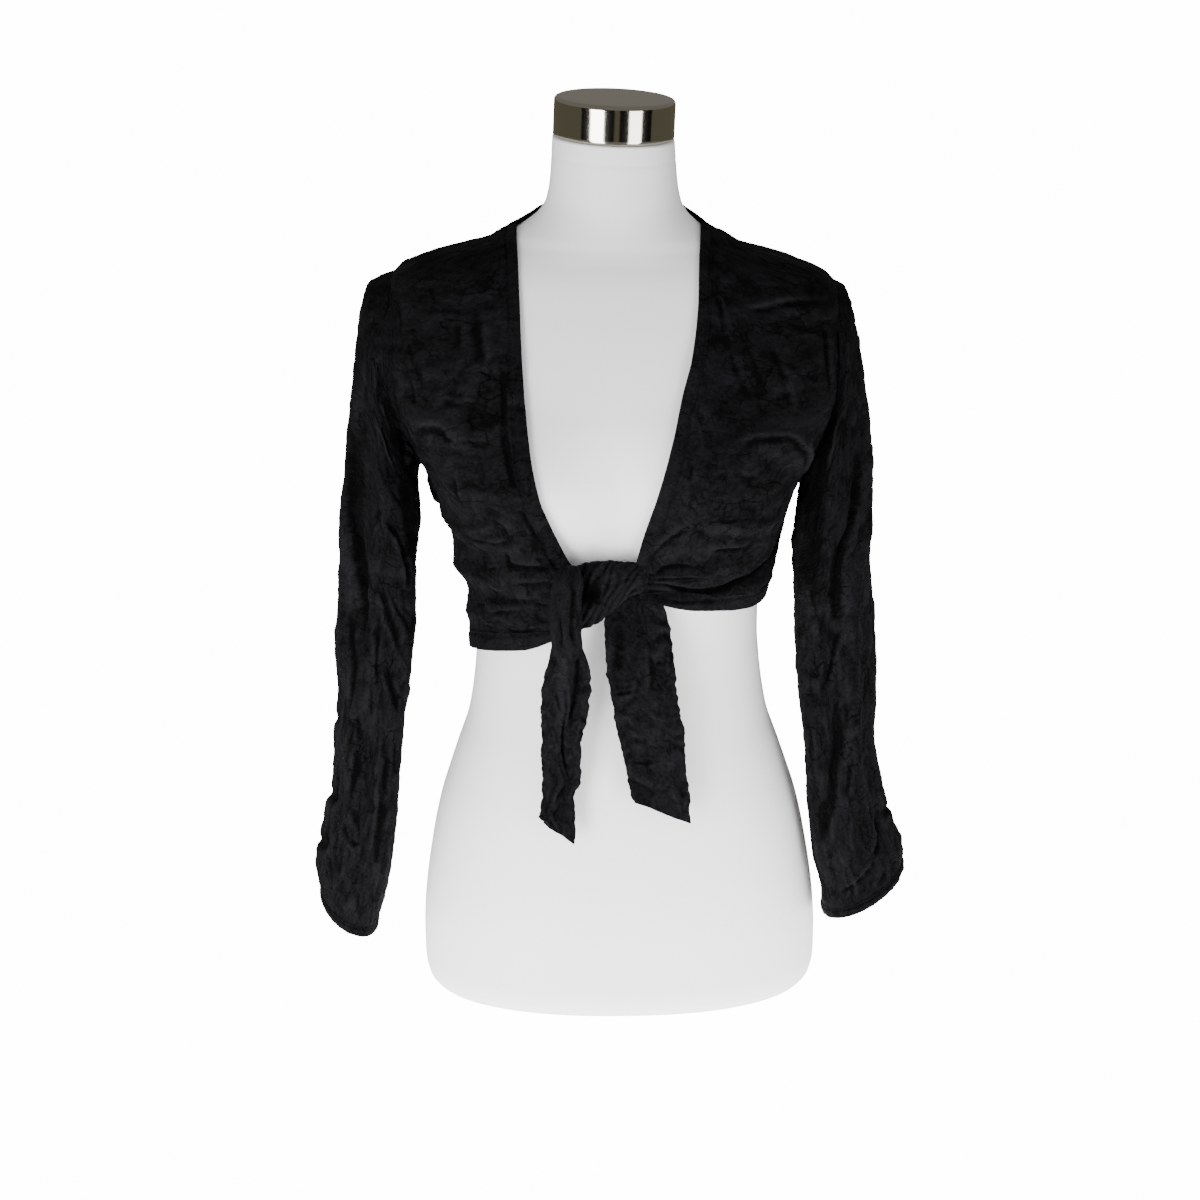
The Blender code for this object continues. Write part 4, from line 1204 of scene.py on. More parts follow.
@dataclass(frozen=True)
class DressForm:
    """The limbless dress form: a white torso and a bright cap on its neck.

    Attributes:
        rings: Its level rings, each an oval whose squareness grows with the last column.
        probe: Steps of angle and level by which its slope is read.
        base_top: Level below which the rings lie closer.
        ridge_foot: Level above which they do.
        seam_level: Level of the faint seam round the neck.
        shoulder_level: Level above which the rings are the shoulders'.
        base_shares: Sizes of the rings that close the base, as shares of the last one.
        neck_shares: Sizes of those that close the neck.
        cap_foot: Sizes of the cap's rings under it, as shares of its radius.
        cap_top: Sizes of those on its top.
        cap_lip: Height of the lowest ring of its side.
    """

    rings: Table = table("""
    level half_width front back square
    0     .15   .096  .098  2.3
    .004  .158  .1035 .1055 2.3
    .012  .1645 .1095 .112  2.3
    .026  .1675 .112  .1155 2.3
    .05   .168  .112  .117  2.3
    .073  .1671 .1125 .1185 2.3
    .102  .164  .112  .119  2.3
    .125  .1604 .1105 .118  2.3
    .148  .1562 .1085 .1155 2.3
    .172  .1504 .106  .1115 2.3
    .194  .1433 .103  .106  2.3
    .217  .1355 .1    .0995 2.3
    .243  .1265 .097  .0925 2.3
    .268  .122  .0945 .087  2.3
    .29   .1195 .093  .084  2.3
    .314  .118  .0935 .083  2.3
    .34   .1185 .096  .084  2.3
    .365  .1225 .1    .087  2.35
    .39   .128  .105  .091  2.4
    .415  .1345 .11   .096  2.5
    .44   .143  .1135 .101  2.6
    .46   .152  .115  .1045 2.75
    .48   .162  .115  .107  2.9
    .5    .17   .1135 .1085 3.1
    .52   .1755 .1085 .109  3.2
    .545  .179  .1005 .109  3.2
    .575  .18   .0885 .106  3
    .597  .181  .078  .101  2.8
    .606  .18   .0735 .0985 2.7
    .614  .1745 .069  .096  2.6
    .621  .16   .0645 .093  2.5
    .6275 .139  .06   .089  2.4
    .6325 .12   .057  .086  2.35
    .637  .1046 .0545 .0835 2.3
    .6445 .0913 .0515 .0795 2.2
    .65   .0793 .0495 .0765 2.15
    .657  .068  .0475 .073  2.1
    .664  .0605 .046  .07   2.05
    .673  .0553 .045  .067  2
    .69   .052  .0435 .0635 2
    .7235 .0497 .0415 .0605 2
    """)
    probe: Pair = (0.5, 0.0015)
    around: int = 160
    rows: int = 230
    foot_rows: int = 24
    neck_rows: int = 80
    base_top: float = 0.026
    ridge_foot: float = 0.59
    flat_radius: float = 0.15
    base_shares: tuple[float, ...] = (0.15, 0.55, 0.93)
    neck_shares: Pair = (0.85, 0.4)
    bust_x: float = 0.078
    bust_level: float = 0.452
    bust_height: float = 0.026
    bust_spread: Pair = (0.052, 0.050)
    bust_front: float = 0.5
    seam_level: float = 0.7085
    seam_depth: float = 0.0004
    seam_width: float = 0.0012
    neck_top: float = 0.7235
    cap_radius: float = 0.0496
    cap_height: float = 0.0315
    cap_edge: float = 0.0035
    cap_dome: float = 0.0006
    cap_around: int = 128
    cap_rows: int = 10
    cap_lip: float = 0.0008
    cap_foot: tuple[float, ...] = (0.06, 0.93, 0.985)
    cap_top: tuple[float, ...] = (0.86, 0.7, 0.45, 0.2, 0.04)
    cap_gap: float = 0.0003
    shoulder_level: float = 0.6000

    def point(self, angle: Grid, level: Grid) -> Grid:
        """Points of the form's surface at the given angles and levels.

        Args:
            angle: Degrees round the form.
            level: Heights in metres.

        Returns:
            One point for each pair.
        """
        turn = np.radians(angle)
        across, ahead = np.sin(turn), np.cos(turn)
        depth = np.where(ahead > 0, self.rings.at("front", level), self.rings.at("back", level))
        half, square = self.rings.at("half_width", level), self.rings.at("square", level)
        reach = ((np.abs(across) / half) ** square + (np.abs(ahead) / depth) ** square) ** (-1 / square)
        x = reach * across
        wide, high = self.bust_spread
        spread = ((np.abs(x) - self.bust_x) / wide) ** 2 + ((level - self.bust_level) / high) ** 2
        bust = self.bust_height * np.exp(-spread) * step_up(ahead, 0.0, self.bust_front)
        return np.stack([x, -reach * ahead - bust, level + 0 * x], axis=-1)

    def normal(self, angle: Grid, level: Grid) -> Grid:
        """Unit vectors straight out of the form at the given angles and levels.

        Args:
            angle: Degrees round the form.
            level: Heights in metres.

        Returns:
            One vector for each pair.
        """
        turn, rise = self.probe
        around = self.point(angle + turn, level) - self.point(angle - turn, level)
        upward = self.point(angle, level + rise) - self.point(angle, level - rise)
        return unit(np.cross(around, upward))

    def angle_at(self, level: Grid, distance: Grid, sign: float) -> Grid:
        """The angle at which the front of a ring lies a given distance from the middle.

        Args:
            level: Levels of the rings.
            distance: Distances from the middle.
            sign: 1 for the wearer's left, -1 for the right.

        Returns:
            The angles.
        """
        half, square = self.rings.at("half_width", level), self.rings.at("square", level)
        share = np.clip(distance / half, 0.0, 0.9999)
        ahead = self.rings.at("front", level) * (1 - share**square) ** (1 / square)
        return sign * np.degrees(np.arctan2(share * half, ahead))

    def ridge_level(self, distance: float) -> float:
        """The level at which the shoulder's ridge lies a given distance from the middle.

        Args:
            distance: Metres from the middle.

        Returns:
            The height in metres.
        """
        level, half = self.rings.column("level"), self.rings.column("half_width")
        upper = level > self.shoulder_level
        return float(np.interp(distance, half[upper][::-1], level[upper][::-1]))

    def torso(self) -> Sheet:
        """The torso's surface, closed under its base and over its neck.

        Returns:
            The sheet, its rows from the base up.
        """
        foot = np.linspace(0.0, self.base_top, self.foot_rows, endpoint=False)
        between = self.rows - self.foot_rows - self.neck_rows
        trunk = np.linspace(self.base_top, self.ridge_foot, between, endpoint=False)
        levels = np.concatenate([foot, trunk, np.linspace(self.ridge_foot, self.neck_top, self.neck_rows)])
        angles = np.arange(self.around) * 360 / self.around
        grid = self.point(angles[None, :], levels[:, None])
        groove = self.seam_depth * bell(levels - self.seam_level, self.seam_width)
        grid = grid - self.normal(angles[None, :], levels[:, None]) * groove[:, None, None]
        flat = np.stack([grid[0] * share * [1, 1, 0] for share in self.base_shares])
        top = np.stack([grid[-1] * [share, share, 1] for share in self.neck_shares])
        points = np.concatenate([flat, grid, top])
        across = np.radians(angles)[None, :] * self.flat_radius + 0 * points[..., 0]
        return Sheet(points, across, points[..., 2], 0 * across, 2 * math.pi * self.flat_radius)

    def cap(self) -> Sheet:
        """The cap, turned upright about its own axis and set down on the neck.

        Returns:
            The sheet, its rows from the foot up.
        """
        corner = np.radians(np.linspace(0, 90, self.cap_rows - 1))
        edge, radius, height = self.cap_edge, self.cap_radius, self.cap_height
        foot = [(share, 0.0) for share in self.cap_foot]
        side = [(1.0, level) for level in np.linspace(self.cap_lip, height - edge, self.cap_rows)]
        rim = [(1 - edge / radius * (1 - math.cos(a)), height - edge * (1 - math.sin(a))) for a in corner[1:]]
        top = [(share, height + self.cap_dome * (1 - share**2)) for share in self.cap_top]
        profile = np.array(foot + side + rim + top)
        turn = np.radians(np.arange(self.cap_around) * 360 / self.cap_around)
        reach = profile[:, :1] * radius
        level = profile[:, 1:] + 0 * reach * turn
        upright = np.stack([reach * np.cos(turn), reach * np.sin(turn), level], axis=-1)
        direction = Vector((LEAN.neck_slope, -LEAN.neck_nod, 1.0)).to_track_quat("Z", "Y").to_matrix()
        seat = LEAN.placed(np.array([0.0, LEAN.neck_middle_y, self.neck_top + self.cap_gap]))
        points = upright @ np.array(direction).T + seat
        across = turn[None, :] * radius + 0 * reach
        return Sheet(points, across, profile[:, 1:] + 0 * across, 0 * across, 2 * math.pi * radius)

    def build(self) -> None:
        """Makes the torso and the cap."""
        add_piece("torso_shell", loft_mesh("torso_shell", self.torso()), WHITE_SHELL, "form_torso")
        cap = loft_mesh("neck_cap", self.cap(), upright=False)
        add_piece("neck_cap", cap, BRIGHT_METAL, "form_cap")


FORM = DressForm()


# ---- Cloth on the body ----


ARMHOLE_FRONT = 14.5
ARMHOLE_BACK = 15.5
HEM_WIDTH = 0.015
HEM_LAP = 0.0010
KNIT_THICKNESS = 0.0009


@dataclass(frozen=True)
class Side:
    """What one half of the garment has for itself.

    Attributes:
        sign: 1 for the wearer's left, -1 for the right.
        hem_side: Level of the hem at the side seam.
        hem_share: Share of the front's width over which its hem climbs.
        knot_edge: Distance from the middle at which the front meets the knot.
        knot_level: Level at which it does.
        armpit: Level of the armhole's foot.
        shoulder_tip: Level of the armhole's top.
        edges: The front edge's distance from the middle, and the width of its band, by level.
        rows: Level at the side and at the front edge of each row of the front.
    """

    name: str
    sign: float
    hem_side: float
    hem_share: float
    knot_edge: float
    knot_level: float
    armpit: float
    shoulder_tip: float
    edges: Table
    rows: Table

    @property
    def middle(self) -> float:
        """Level of the armhole's middle."""
        return (self.shoulder_tip + self.armpit) / 2

    @property
    def half(self) -> float:
        """Half the armhole's height."""
        return (self.shoulder_tip - self.armpit) / 2

    def neck_levels(self) -> Pair:
        """Levels on the shoulder's ridge of the neck band's outer and inner side."""
        edge, band = self.edges.column("edge")[-1], self.edges.column("band")[-1]
        return FORM.ridge_level(edge + band), FORM.ridge_level(edge)

    def armhole(self, around: Grid, shrink: Grid) -> tuple[Grid, Grid]:
        """Places along the armhole.

        Args:
            around: Angles from the shoulder tip, 0, over the front, 90.
            shrink: How much smaller than the armhole the line is.

        Returns:
            Angles and levels on the body.
        """
        turn = np.radians(around)
        narrow = np.degrees(shrink / FORM.rings.at("half_width", self.middle))
        reach = np.where(np.sin(turn) > 0, ARMHOLE_FRONT, ARMHOLE_BACK) - narrow
        return self.sign * (90 - reach * np.sin(turn)), self.middle + (self.half - shrink) * np.cos(turn)

    def armhole_angles(self, levels: Grid, reach: float) -> Grid:
        """Angles from the side at which level rows meet the armhole, nought clear of it."""
        share = np.clip((levels - self.middle) / self.half, -1.0, 1.0)
        return reach * np.sqrt(1 - share**2)

    def row_levels(self, below: int, along: int, above: int) -> Grid:
        """Levels of rows at the side: up from the hem, round the armhole and up to the neck.

        Args:
            below: Rows under the armhole.
            along: Rows beside it.
            above: Rows over it.

        Returns:
            Heights in metres, from the hem up.
        """
        start = self.hem_side + HEM_WIDTH
        foot = np.linspace(start, self.armpit, below, endpoint=False)
        hole = self.middle + self.half * np.cos(np.radians(np.linspace(180, 0, along)))
        top = np.linspace(self.shoulder_tip, self.neck_levels()[0], above + 1)[1:]
        return np.concatenate([foot, hole, top])


RIGHT = Side(
    "right",
    -1.0,
    hem_side=0.2980,
    hem_share=1.00,
    knot_edge=0.0395,
    knot_level=0.3640,
    armpit=0.4550,
    shoulder_tip=0.6110,
    edges=table("""
    level edge band
    .388 .029  .014
    .397 .0325 .014
    .406 .0395 .014
    .421 .0475 .0135
    .437 .0545 .013
    .454 .0608 .0125
    .478 .066  .012
    .503 .0692 .0115
    .53  .0717 .011
    .56  .0736 .0105
    .6   .0754 .01
    .63  .077  .01
    .655 .0785 .01
    """),
    rows=table("""
    level inner_level
    .3153 .34
    .34   .353
    .365  .366
    .39   .386
    .41   .402
    .455  .448
    .5    .5
    .66   .66
    """),
)
LEFT = Side(
    "left",
    1.0,
    hem_side=0.3450,
    hem_share=0.75,
    knot_edge=0.0130,
    knot_level=0.3730,
    armpit=0.4360,
    shoulder_tip=0.6100,
    edges=table("""
    level edge band
    .381 .0112 .012
    .396 .0146 .012
    .406 .0178 .012
    .421 .0226 .012
    .437 .0283 .012
    .454 .0344 .0115
    .478 .0414 .0115
    .503 .0474 .011
    .53  .053  .011
    .56  .061  .0105
    .6   .0662 .01
    .63  .0675 .01
    .655 .069  .01
    """),
    rows=table("""
    level inner_level
    .3583 .3755
    .37   .38
    .385  .385
    .4    .3945
    .415  .408
    .44   .434
    .49   .49
    .66   .66
    """),
)


BODY_CREASES = creases("""
    # Right front
    .0032 .0024 .0036 .3 | -67.6 .493 -62.4 .5002 -57.6 .5026 -54 .497 -53.2 .4906
    .0017 .003 0 .3 | -45.2 .565 -40 .5242 -38 .489 -36.8 .469 -36 .4594
    .0016 .0032 0 .25 | -35.2 .4482 -33.2 .4354 -30.8 .4194
    .0014 .0016 0 .3 | -29.6 .4154 -26.4 .4034 -24 .3946
    .0012 .0022 .0006 .3 | -55.2 .4674 -55.2 .457 -55.2 .4482
    .0012 .0017 0 .3 | -48.8 .5114 -47.6 .5066 -46.8 .501
    .0018 .0032 .0012 .15 | -42.8 .4098 -43.2 .397 -39.6 .3962 -33.6 .3978 -26.8 .3986
    .0018 .0011 .0008 .3 | -41.6 .3832 -36 .385 -28.8 .3866 -22.8 .3818
    .0012 .0017 0 .3 | -67.6 .3474 -59.2 .3514
    .0012 .0017 0 .3 | -35.2 .3642 -31.2 .3642 -27.2 .3666
    .0014 .0016 .0006 .3 | -50.8 .3354 -46.4 .333 -38 .337 -32.2 .3422
    .0014 .0009 .0005 .3 | -57.6 .345 -47.4 .3524 -38 .3566
    .0024 .002 .0012 .3 | -56.8 .5938 -53.2 .5754 -50 .5594 -48 .5482
    .002 .0013 .0008 .3 | -59.2 .5834 -55.6 .5586
    .0012 .0017 .0008 .3 | -66.8 .5378 -65.2 .5274 -64.4 .5162
    .0012 .0014 0 .3 | -77.6 .589 -74.4 .5786 -72.8 .5682
    .0011 .0014 0 .3 | -70.8 .6082 -68.4 .601 -66.4 .5946
    .0014 .0013 .0008 .3 | -56.8 .5242 -52.4 .521 -48.4 .5226
    .0011 .0013 0 .3 | -70 .5642 -68 .557 -66 .549
    .003 .0022 .0016 .3 | -74.8 .5026 -74.4 .489 -72.8 .4762
    .0018 .0007 .0004 .3 | -26.4 .3922 -34 .3916 -42.8 .3902
    .0022 .001 .0008 .3 | -26.4 .3734 -37.6 .3648 -50.6 .3596 -66.6 .3498
    .0016 .0006 .0004 .3 | -27.2 .3514 -36.6 .3436 -48.2 .3318
    .0016 .0014 .001 .3 | -56.4 .4154 -48 .4138 -39.6 .4194
    .0014 .0014 .0008 .3 | -45.6 .4362 -42 .4314 -40.8 .421
    .0014 .0014 .0008 .3 | -49.2 .4954 -45.6 .4922 -41.6 .493
    # Left front
    .002 .0036 .0032 .2 | 42.8 .4906 46 .4962 50.8 .497 55.2 .4962 59.4 .489 64.5 .478 67.5 .462
    .0018 .0022 .0018 .3 | 36.4 .4106 43.6 .409 52.8 .4066
    .0012 .0015 0 .3 | 36.8 .4378 40.8 .4354 45.2 .4346
    .0019 .0036 .0018 .2 | 9.2 .3866 18.8 .385 26.4 .377 34.4 .373 40.8 .3722 49.6 .3746 \
      58.4 .3778 67.2 .3834 75.2 .3914 67.6 .4162
    .0012 .002 .001 .2 | 10.8 .3946 15.6 .393 20.4 .3986 26 .3994 34.8 .397
    .0012 .0016 0 .3 | 25.6 .3834 30 .3842 34.8 .385
    .0014 .0014 .0008 .3 | 13.6 .373 21.2 .3682 34 .3666 49.2 .3642
    .0018 .0013 .0009 .3 | 49.2 .6138 48.4 .5978 46 .5786 44.4 .561
    .0015 .0008 .0005 .3 | 50.4 .5794 50.4 .5602 50.8 .5426 52 .5314
    .0017 .001 .0006 .3 | 55.6 .577 56.4 .5626 56.4 .5466 56.4 .5258 57.2 .5098
    .0015 .0011 .0007 .3 | 45.6 .5674 45.2 .553 46 .5346 46.8 .5226
    .002 .0018 .0018 .3 | 54.4 .597 58.4 .5946 63.6 .5978 68.4 .5994 79.2 .5986
    .002 .0028 .0008 .3 | 72.4 .5858 71.6 .569 70 .549 70.4 .5226
    .0012 -.0013 0 .3 | 27.2 .5234 29.6 .5122 31.2 .5026 31.6 .485
    .0012 .0014 .001 .3 | 10.8 .3898 19.6 .3906 29.2 .3898 41.2 .3802
    .0016 .0022 .0014 .3 | 11.6 .3786 21.2 .3706 36.4 .365 56 .3586
    .0018 .0016 .0016 .3 | 10 .3994 15.6 .4082 22 .421 29.2 .4322
    .0014 .0016 .001 .3 | 10 .3826 18 .377 27.6 .3714 34 .3698
    .0014 .0012 .0008 .3 | 23.6 .4538 28.4 .4482 32 .4386
    .0014 .0012 .0008 .3 | 40.8 .4754 44.4 .4682 50 .4674
    .0014 .0014 .0008 .3 | 26.4 .4858 28 .4754 27.6 .4642
    # Back
    .0022 .0026 .0014 .3 | 98 .432 112 .421 128 .417 146 .409
    .0018 .0022 .001 .3 | 104 .398 122 .392 141 .383
    .0016 .002 .001 .3 | 262 .436 246 .424 230 .414 214 .408
    .0024 .003 .0014 .3 | 258 .392 240 .383 222 .378 205 .366
    .0014 .0018 .0008 .3 | 150 .358 172 .352 196 .355
    .0026 .0022 .0014 .3 | 116 .53 124 .505 133 .478 137 .455
    .0028 .0024 .0016 .3 | 245 .54 238 .515 229 .49 223 .462
    .0014 .0016 0 .3 | 168 .57 170 .545 173 .522
    .0012 .0014 .0006 .3 | 202 .61 198 .588 197 .56
    .0018 .0018 .001 .3 | 128 .6 150 .592 165 .595
    .0012 .0014 0 .3 | 186 .48 189 .462 188 .444
    .0016 .002 .001 .3 | 110 .352 124 .347 142 .35
    .0016 .0018 .001 .3 | 254 .345 238 .349 220 .342
    .0012 .0016 .0006 .3 | 158 .44 166 .43 176 .432
    .003 .0022 .0014 .3 | 104 .585 110 .56 112 .532
""")


@dataclass(frozen=True)
class BodyCloth:
    """The cloth over the body, whatever piece it belongs to.

    Attributes:
        eases: How far the cloth stands off the form at front, side and back, by level.
        folds_top: Level above which the large folds are gone.
        least_lift: The least that the cloth's outer side stands off the form.
        least_gap: The least that its inner side does.
        knot: Middle of the place where the fronts lift off to meet the knot.
        knot_spread: Half width and half height of that place.
        knot_front: How far round the front that place fades in.
        seam_depth: Depth of the pull along the side and shoulder seams.
    """

    eases: Table = table("""
    level front side back
    .29  .008  .005  .006
    .32  .0095 .0065 .007
    .35  .0095 .006  .008
    .375 .008  .009  .008
    .4   .006  .008  .007
    .43  .0045 .0065 .006
    .46  .004  .007  .0055
    .5   .0038 .007  .005
    .56  .0038 .0052 .0045
    .6   .003  .0034 .0038
    .62  .0026 .0024 .0032
    .64  .0026 .0024 .003
    .69  .0034 .0036 .0042
    """)
    folds: Folds = Folds(
        number_rows("""
    # Right front
    -41 .56  -37 .5   .007  .003
    -33 .59  -33 .535 .0065 -.002
    -62 .503 -47 .492 .008  .0035
    -72 .5   -66 .462 .007  -.0025
    -60 .47  -52 .438 .008  .003
    -94 .447 -89 .424 .012  .0085
    -80 .425 -52 .418 .0085 .0045
    -78 .402 -40 .4   .006  -.003
    -85 .378 -35 .384 .0085 .0045
    -82 .356 -28 .368 .0065 -.0035
    -85 .334 -40 .348 .0085 .004
    # Left front
    46  .497 62  .49  .008  .004
    62  .49  70  .462 .008  .0035
    50  .478 60  .468 .007  -.003
    30  .56  38  .505 .008  .002
    50  .6   58  .555 .008  -.0012
    13  .388 48  .396 .0075 .004
    14  .376 60  .378 .006  -.004
    60  .378 78  .395 .007  -.003
    20  .366 75  .364 .008  .003
    40  .43  72  .425 .008  .003
    # Back
    105 .425 150 .405 .0085 .004
    110 .395 165 .38  .008  .0038
    255 .43  205 .4   .0085 .004
    250 .385 200 .37  .008  .0036
    130 .35  225 .345 .0085 .0034
    120 .52  138 .46  .009  .0036
    240 .53  222 .465 .009  .0036
    160 .56  166 .48  .009  .0026
    200 .6   196 .53  .009  .0026
        """),
        0.13,
    )
    relief: Relief = Relief(
        0.13,
        BODY_CREASES,
        (
            Crush(0.030, 0.020, 0.0018, 11),
            Crush(0.0135, 0.0085, 0.0011, 23),
            Crush(0.0065, 0.0045, 0.0007, 37),
        ),
    )
    folds_top: float = 0.66
    folds_fade: float = 0.06
    least_lift: float = 0.0017
    least_gap: float = 0.0006
    knot: Pair = (-0.012, 0.372)
    knot_spread: Pair = (0.058, 0.034)
    knot_lift: float = 0.0160
    knot_front: Pair = (0.3, 0.7)
    seam_depth: float = 0.0010
    seam_width: float = 0.0020

    def lift(self, angle: Grid, level: Grid, extra: Grid) -> Grid:
        """How far the cloth's outer side stands off the form.

        Args:
            angle: Angles on the body.
            level: Levels on the body.
            extra: Height of the fine form there.

        Returns:
            The distance at each place.
        """
        turn = np.radians(angle)
        ahead = np.cos(turn)
        middle = np.where(ahead > 0, self.eases.at("front", level), self.eases.at("back", level))
        ease = self.eases.at("side", level) * np.sin(turn) ** 2 + middle * ahead**2
        folds = self.folds.height(angle, level) * step_up(self.folds_top - level, 0.0, self.folds_fade)
        x = FORM.point(angle, level)[..., 0]
        spread = ((x - self.knot[0]) / self.knot_spread[0]) ** 2
        spread = spread + ((level - self.knot[1]) / self.knot_spread[1]) ** 2
        knot = self.knot_lift * np.exp(-spread) * step_up(ahead, *self.knot_front)
        return np.maximum(ease + folds + extra, self.least_lift) + knot

    def point(self, angle: Grid, level: Grid, proud: Grid = 0.0) -> Grid:
        """Points of the cloth's smooth outer side, or as far outside it as asked."""
        lift = self.lift(angle, level, 0.0) + proud
        return FORM.point(angle, level) + FORM.normal(angle, level) * lift[..., None]

    def sheets(self, angles: Grid, levels: Grid, proud: Grid = 0.0, crush: Grid = 1.0) -> tuple[Sheet, Sheet]:
        """The two sides of a piece of the cloth.

        Args:
            angles: Angles of its points.
            levels: Levels of its points.
            proud: How far it stands outside the cloth on the body.
            crush: Share of the creases and crushed texture that it has.

        Returns:
            The outer and the inner side.
        """
        angles, levels = np.broadcast_arrays(angles, levels)
        fine = self.relief.height(angles, levels) * crush
        seam = np.abs(np.abs(wrapped(angles)) - 90) * math.radians(self.relief.radius)
        lift = self.lift(angles, levels, fine - self.seam_depth * bell(seam, self.seam_width)) + proud
        base, normal = FORM.point(angles, levels), FORM.normal(angles, levels)
        across, shade = np.radians(angles) * self.relief.radius, self.relief.shade(fine)
        outer = Sheet(base + normal * lift[..., None], across, levels, shade)
        under = np.maximum(lift - KNIT_THICKNESS, self.least_gap)
        return outer, Sheet(base + normal * under[..., None], across, levels, shade)


CLOTH = BodyCloth()


@dataclass(frozen=True)
class Band:
    """A folded band or turned hem along an edge, with a line of stitches.

    Attributes:
        proud: How far it stands outside the panel.
        puff: How much fuller its middle is.
        stitch_at: Share of its width at which it is sewn down, from its free edge.
        crush: Share of the crushed texture that it has.
    """

    rows: int = 11
    proud: float = 0.0006
    puff: float = 0.0007
    stitch_at: float = 0.84
    stitch_depth: float = 0.0014
    stitch_width: float = 0.07
    crush: float = 0.45

    def shares(self) -> Grid:
        """Shares of the width of its points, from the free edge."""
        return np.linspace(0.0, 1.0, self.rows + 1)

    def profile(self, share: Grid) -> Grid:
        """How far it stands outside the panel at shares of its width from the free edge."""
        puff = self.puff * np.sqrt(np.clip(np.sin(np.pi * share), 0.0, 1.0))
        return self.proud + puff - self.stitch_depth * bell(share - self.stitch_at, self.stitch_width)

    def build(
        self, node: str, angles: Grid, levels: Grid, proud: Grid, cut: Cut, across: bool = True
    ) -> None:
        """Makes a band of the cloth over the body, with its stitches.

        Args:
            node: The part's node that it stands for.
            angles: Angles of its points.
            levels: Levels of its points.
            proud: How far it stands outside the panel.
            cut: Its flat size.
            across: Whether the rows of its grid run along its edge, and not the columns.
        """
        sides = CLOTH.sheets(angles, levels, proud, self.crush)
        seam = Seam(round(self.stitch_at * self.rows), across)
        add_cloth(node, sides, BLACK_KNIT, cut, Hold.DRAPED, ["torso_shell"], seam)


BAND = Band()


def add_panel(node: str, angles: Grid, levels: Grid, cut: Cut) -> None:
    """Makes a panel of the cloth over the body."""
    add_cloth(node, CLOTH.sheets(angles, levels), BLACK_KNIT, cut, Hold.DRAPED, ["torso_shell"])


def add_hem(name: str, angles: Grid, levels: Grid, width: Grid, cut: Cut) -> None:
    """Makes the turned hem under a panel's lowest row.

    Args:
        name: The panel's side, or back.
        angles: Angles of the row.
        levels: Levels of the row.
        width: Width of the hem along the row.
        cut: Flat size of the hem.
    """
    across = BAND.shares()[:, None]
    hem_levels = levels + HEM_LAP - (width + HEM_LAP) * (1 - across)
    BAND.build(f"hem_band_{name}", angles[None, :] + 0 * across, hem_levels, BAND.profile(across), cut)


@dataclass(frozen=True)
class Front:
    """One front panel, with the hem under it and the band along its edge.

    Attributes:
        rows: Numbers of the panel's rows below, along and above the armhole.
        seam_lap: How far the panel reaches under the neck band.
        foot_gap: How far below the band's foot the panel comes in to the knot.
        knot_hem: Width of the hem where it meets the knot.
        knot_hem_widens: Share of the panel's width over which the hem grows to its full width.
        sweep_level: Level below which the rows climb to the knot as the hem does.
    """

    side: Side
    cuts: Mapping[str, Cut]
    columns: int = 116
    rows: tuple[int, int, int] = (84, 100, 34)
    band_rows: int = 210
    seam_lap: float = 0.0015
    foot_gap: float = 0.0030
    knot_hem: float = 0.007
    knot_hem_widens: float = 0.3
    sweep_level: float = 0.42
    sweep_fade: float = 0.05

    def places(self) -> tuple[Grid, Grid, Grid]:
        """Angles and levels of the panel, and the shares of its width from the front edge.

        Returns:
            The angles, the levels and the shares.
        """
        side = self.side
        shares = np.linspace(0.0, 1.0, self.columns + 1)
        outer_levels = side.row_levels(*self.rows)
        inner_levels = side.rows.at("inner_level", outer_levels)
        seam = side.edges.at("edge", inner_levels) + side.edges.at("band", inner_levels) - self.seam_lap
        foot = side.edges.column("level")[0] - self.foot_gap
        distance = side.knot_edge + (seam - side.knot_edge) * step_up(inner_levels, side.knot_level, foot)
        inner = FORM.angle_at(inner_levels, distance, side.sign)
        outer = side.sign * (90 - side.armhole_angles(outer_levels, ARMHOLE_FRONT))
        angles = inner[:, None] + (outer - inner)[:, None] * shares
        hem = step_up(shares, 0.0, side.hem_share) if side.hem_share < 1 else shares
        low = step_up(self.sweep_level - outer_levels, 0.0, self.sweep_fade)[:, None]
        rise = shares + (hem - shares) * low
        return angles, inner_levels[:, None] + (outer_levels - inner_levels)[:, None] * rise, shares

    def band_places(self) -> tuple[Grid, Grid]:
        """Angles and levels of the neck band, evenly spaced along the front edge.

        Returns:
            The angles and the levels.
        """
        edges = self.side.edges
        outer_top, inner_top = self.side.neck_levels()
        share = np.linspace(0.0, 1.0, FINE_STEPS)
        first = edges.column("level")[0]
        levels = first + (inner_top - first) * share
        path = FORM.point(FORM.angle_at(levels, edges.at("edge", levels), self.side.sign), levels)
        length = np.concatenate([[0.0], np.cumsum(np.linalg.norm(np.diff(path, axis=0), axis=1))])
        share = np.interp(np.linspace(0.0, length[-1], self.band_rows), length, share)[:, None]
        across = BAND.shares()
        tops = inner_top + (outer_top - inner_top) * across
        band_levels = first + (tops - first) * share
        distance = edges.at("edge", band_levels) + edges.at("band", band_levels) * across
        return FORM.angle_at(band_levels, distance, self.side.sign), band_levels

    def build(self) -> None:
        """Makes the panel without stitches, and its hem and its neck band, each with its stitches."""
        name = self.side.name
        angles, levels, shares = self.places()
        add_panel(f"front_{name}", angles, levels, self.cuts["panel"])
        width = self.knot_hem + (HEM_WIDTH - self.knot_hem) * step_up(shares, 0.0, self.knot_hem_widens)
        add_hem(name, angles[0], levels[0], width, self.cuts["hem"])
        profile = BAND.profile(BAND.shares()[None, :])
        BAND.build(f"neck_band_{name}", *self.band_places(), profile, self.cuts["band"], across=False)


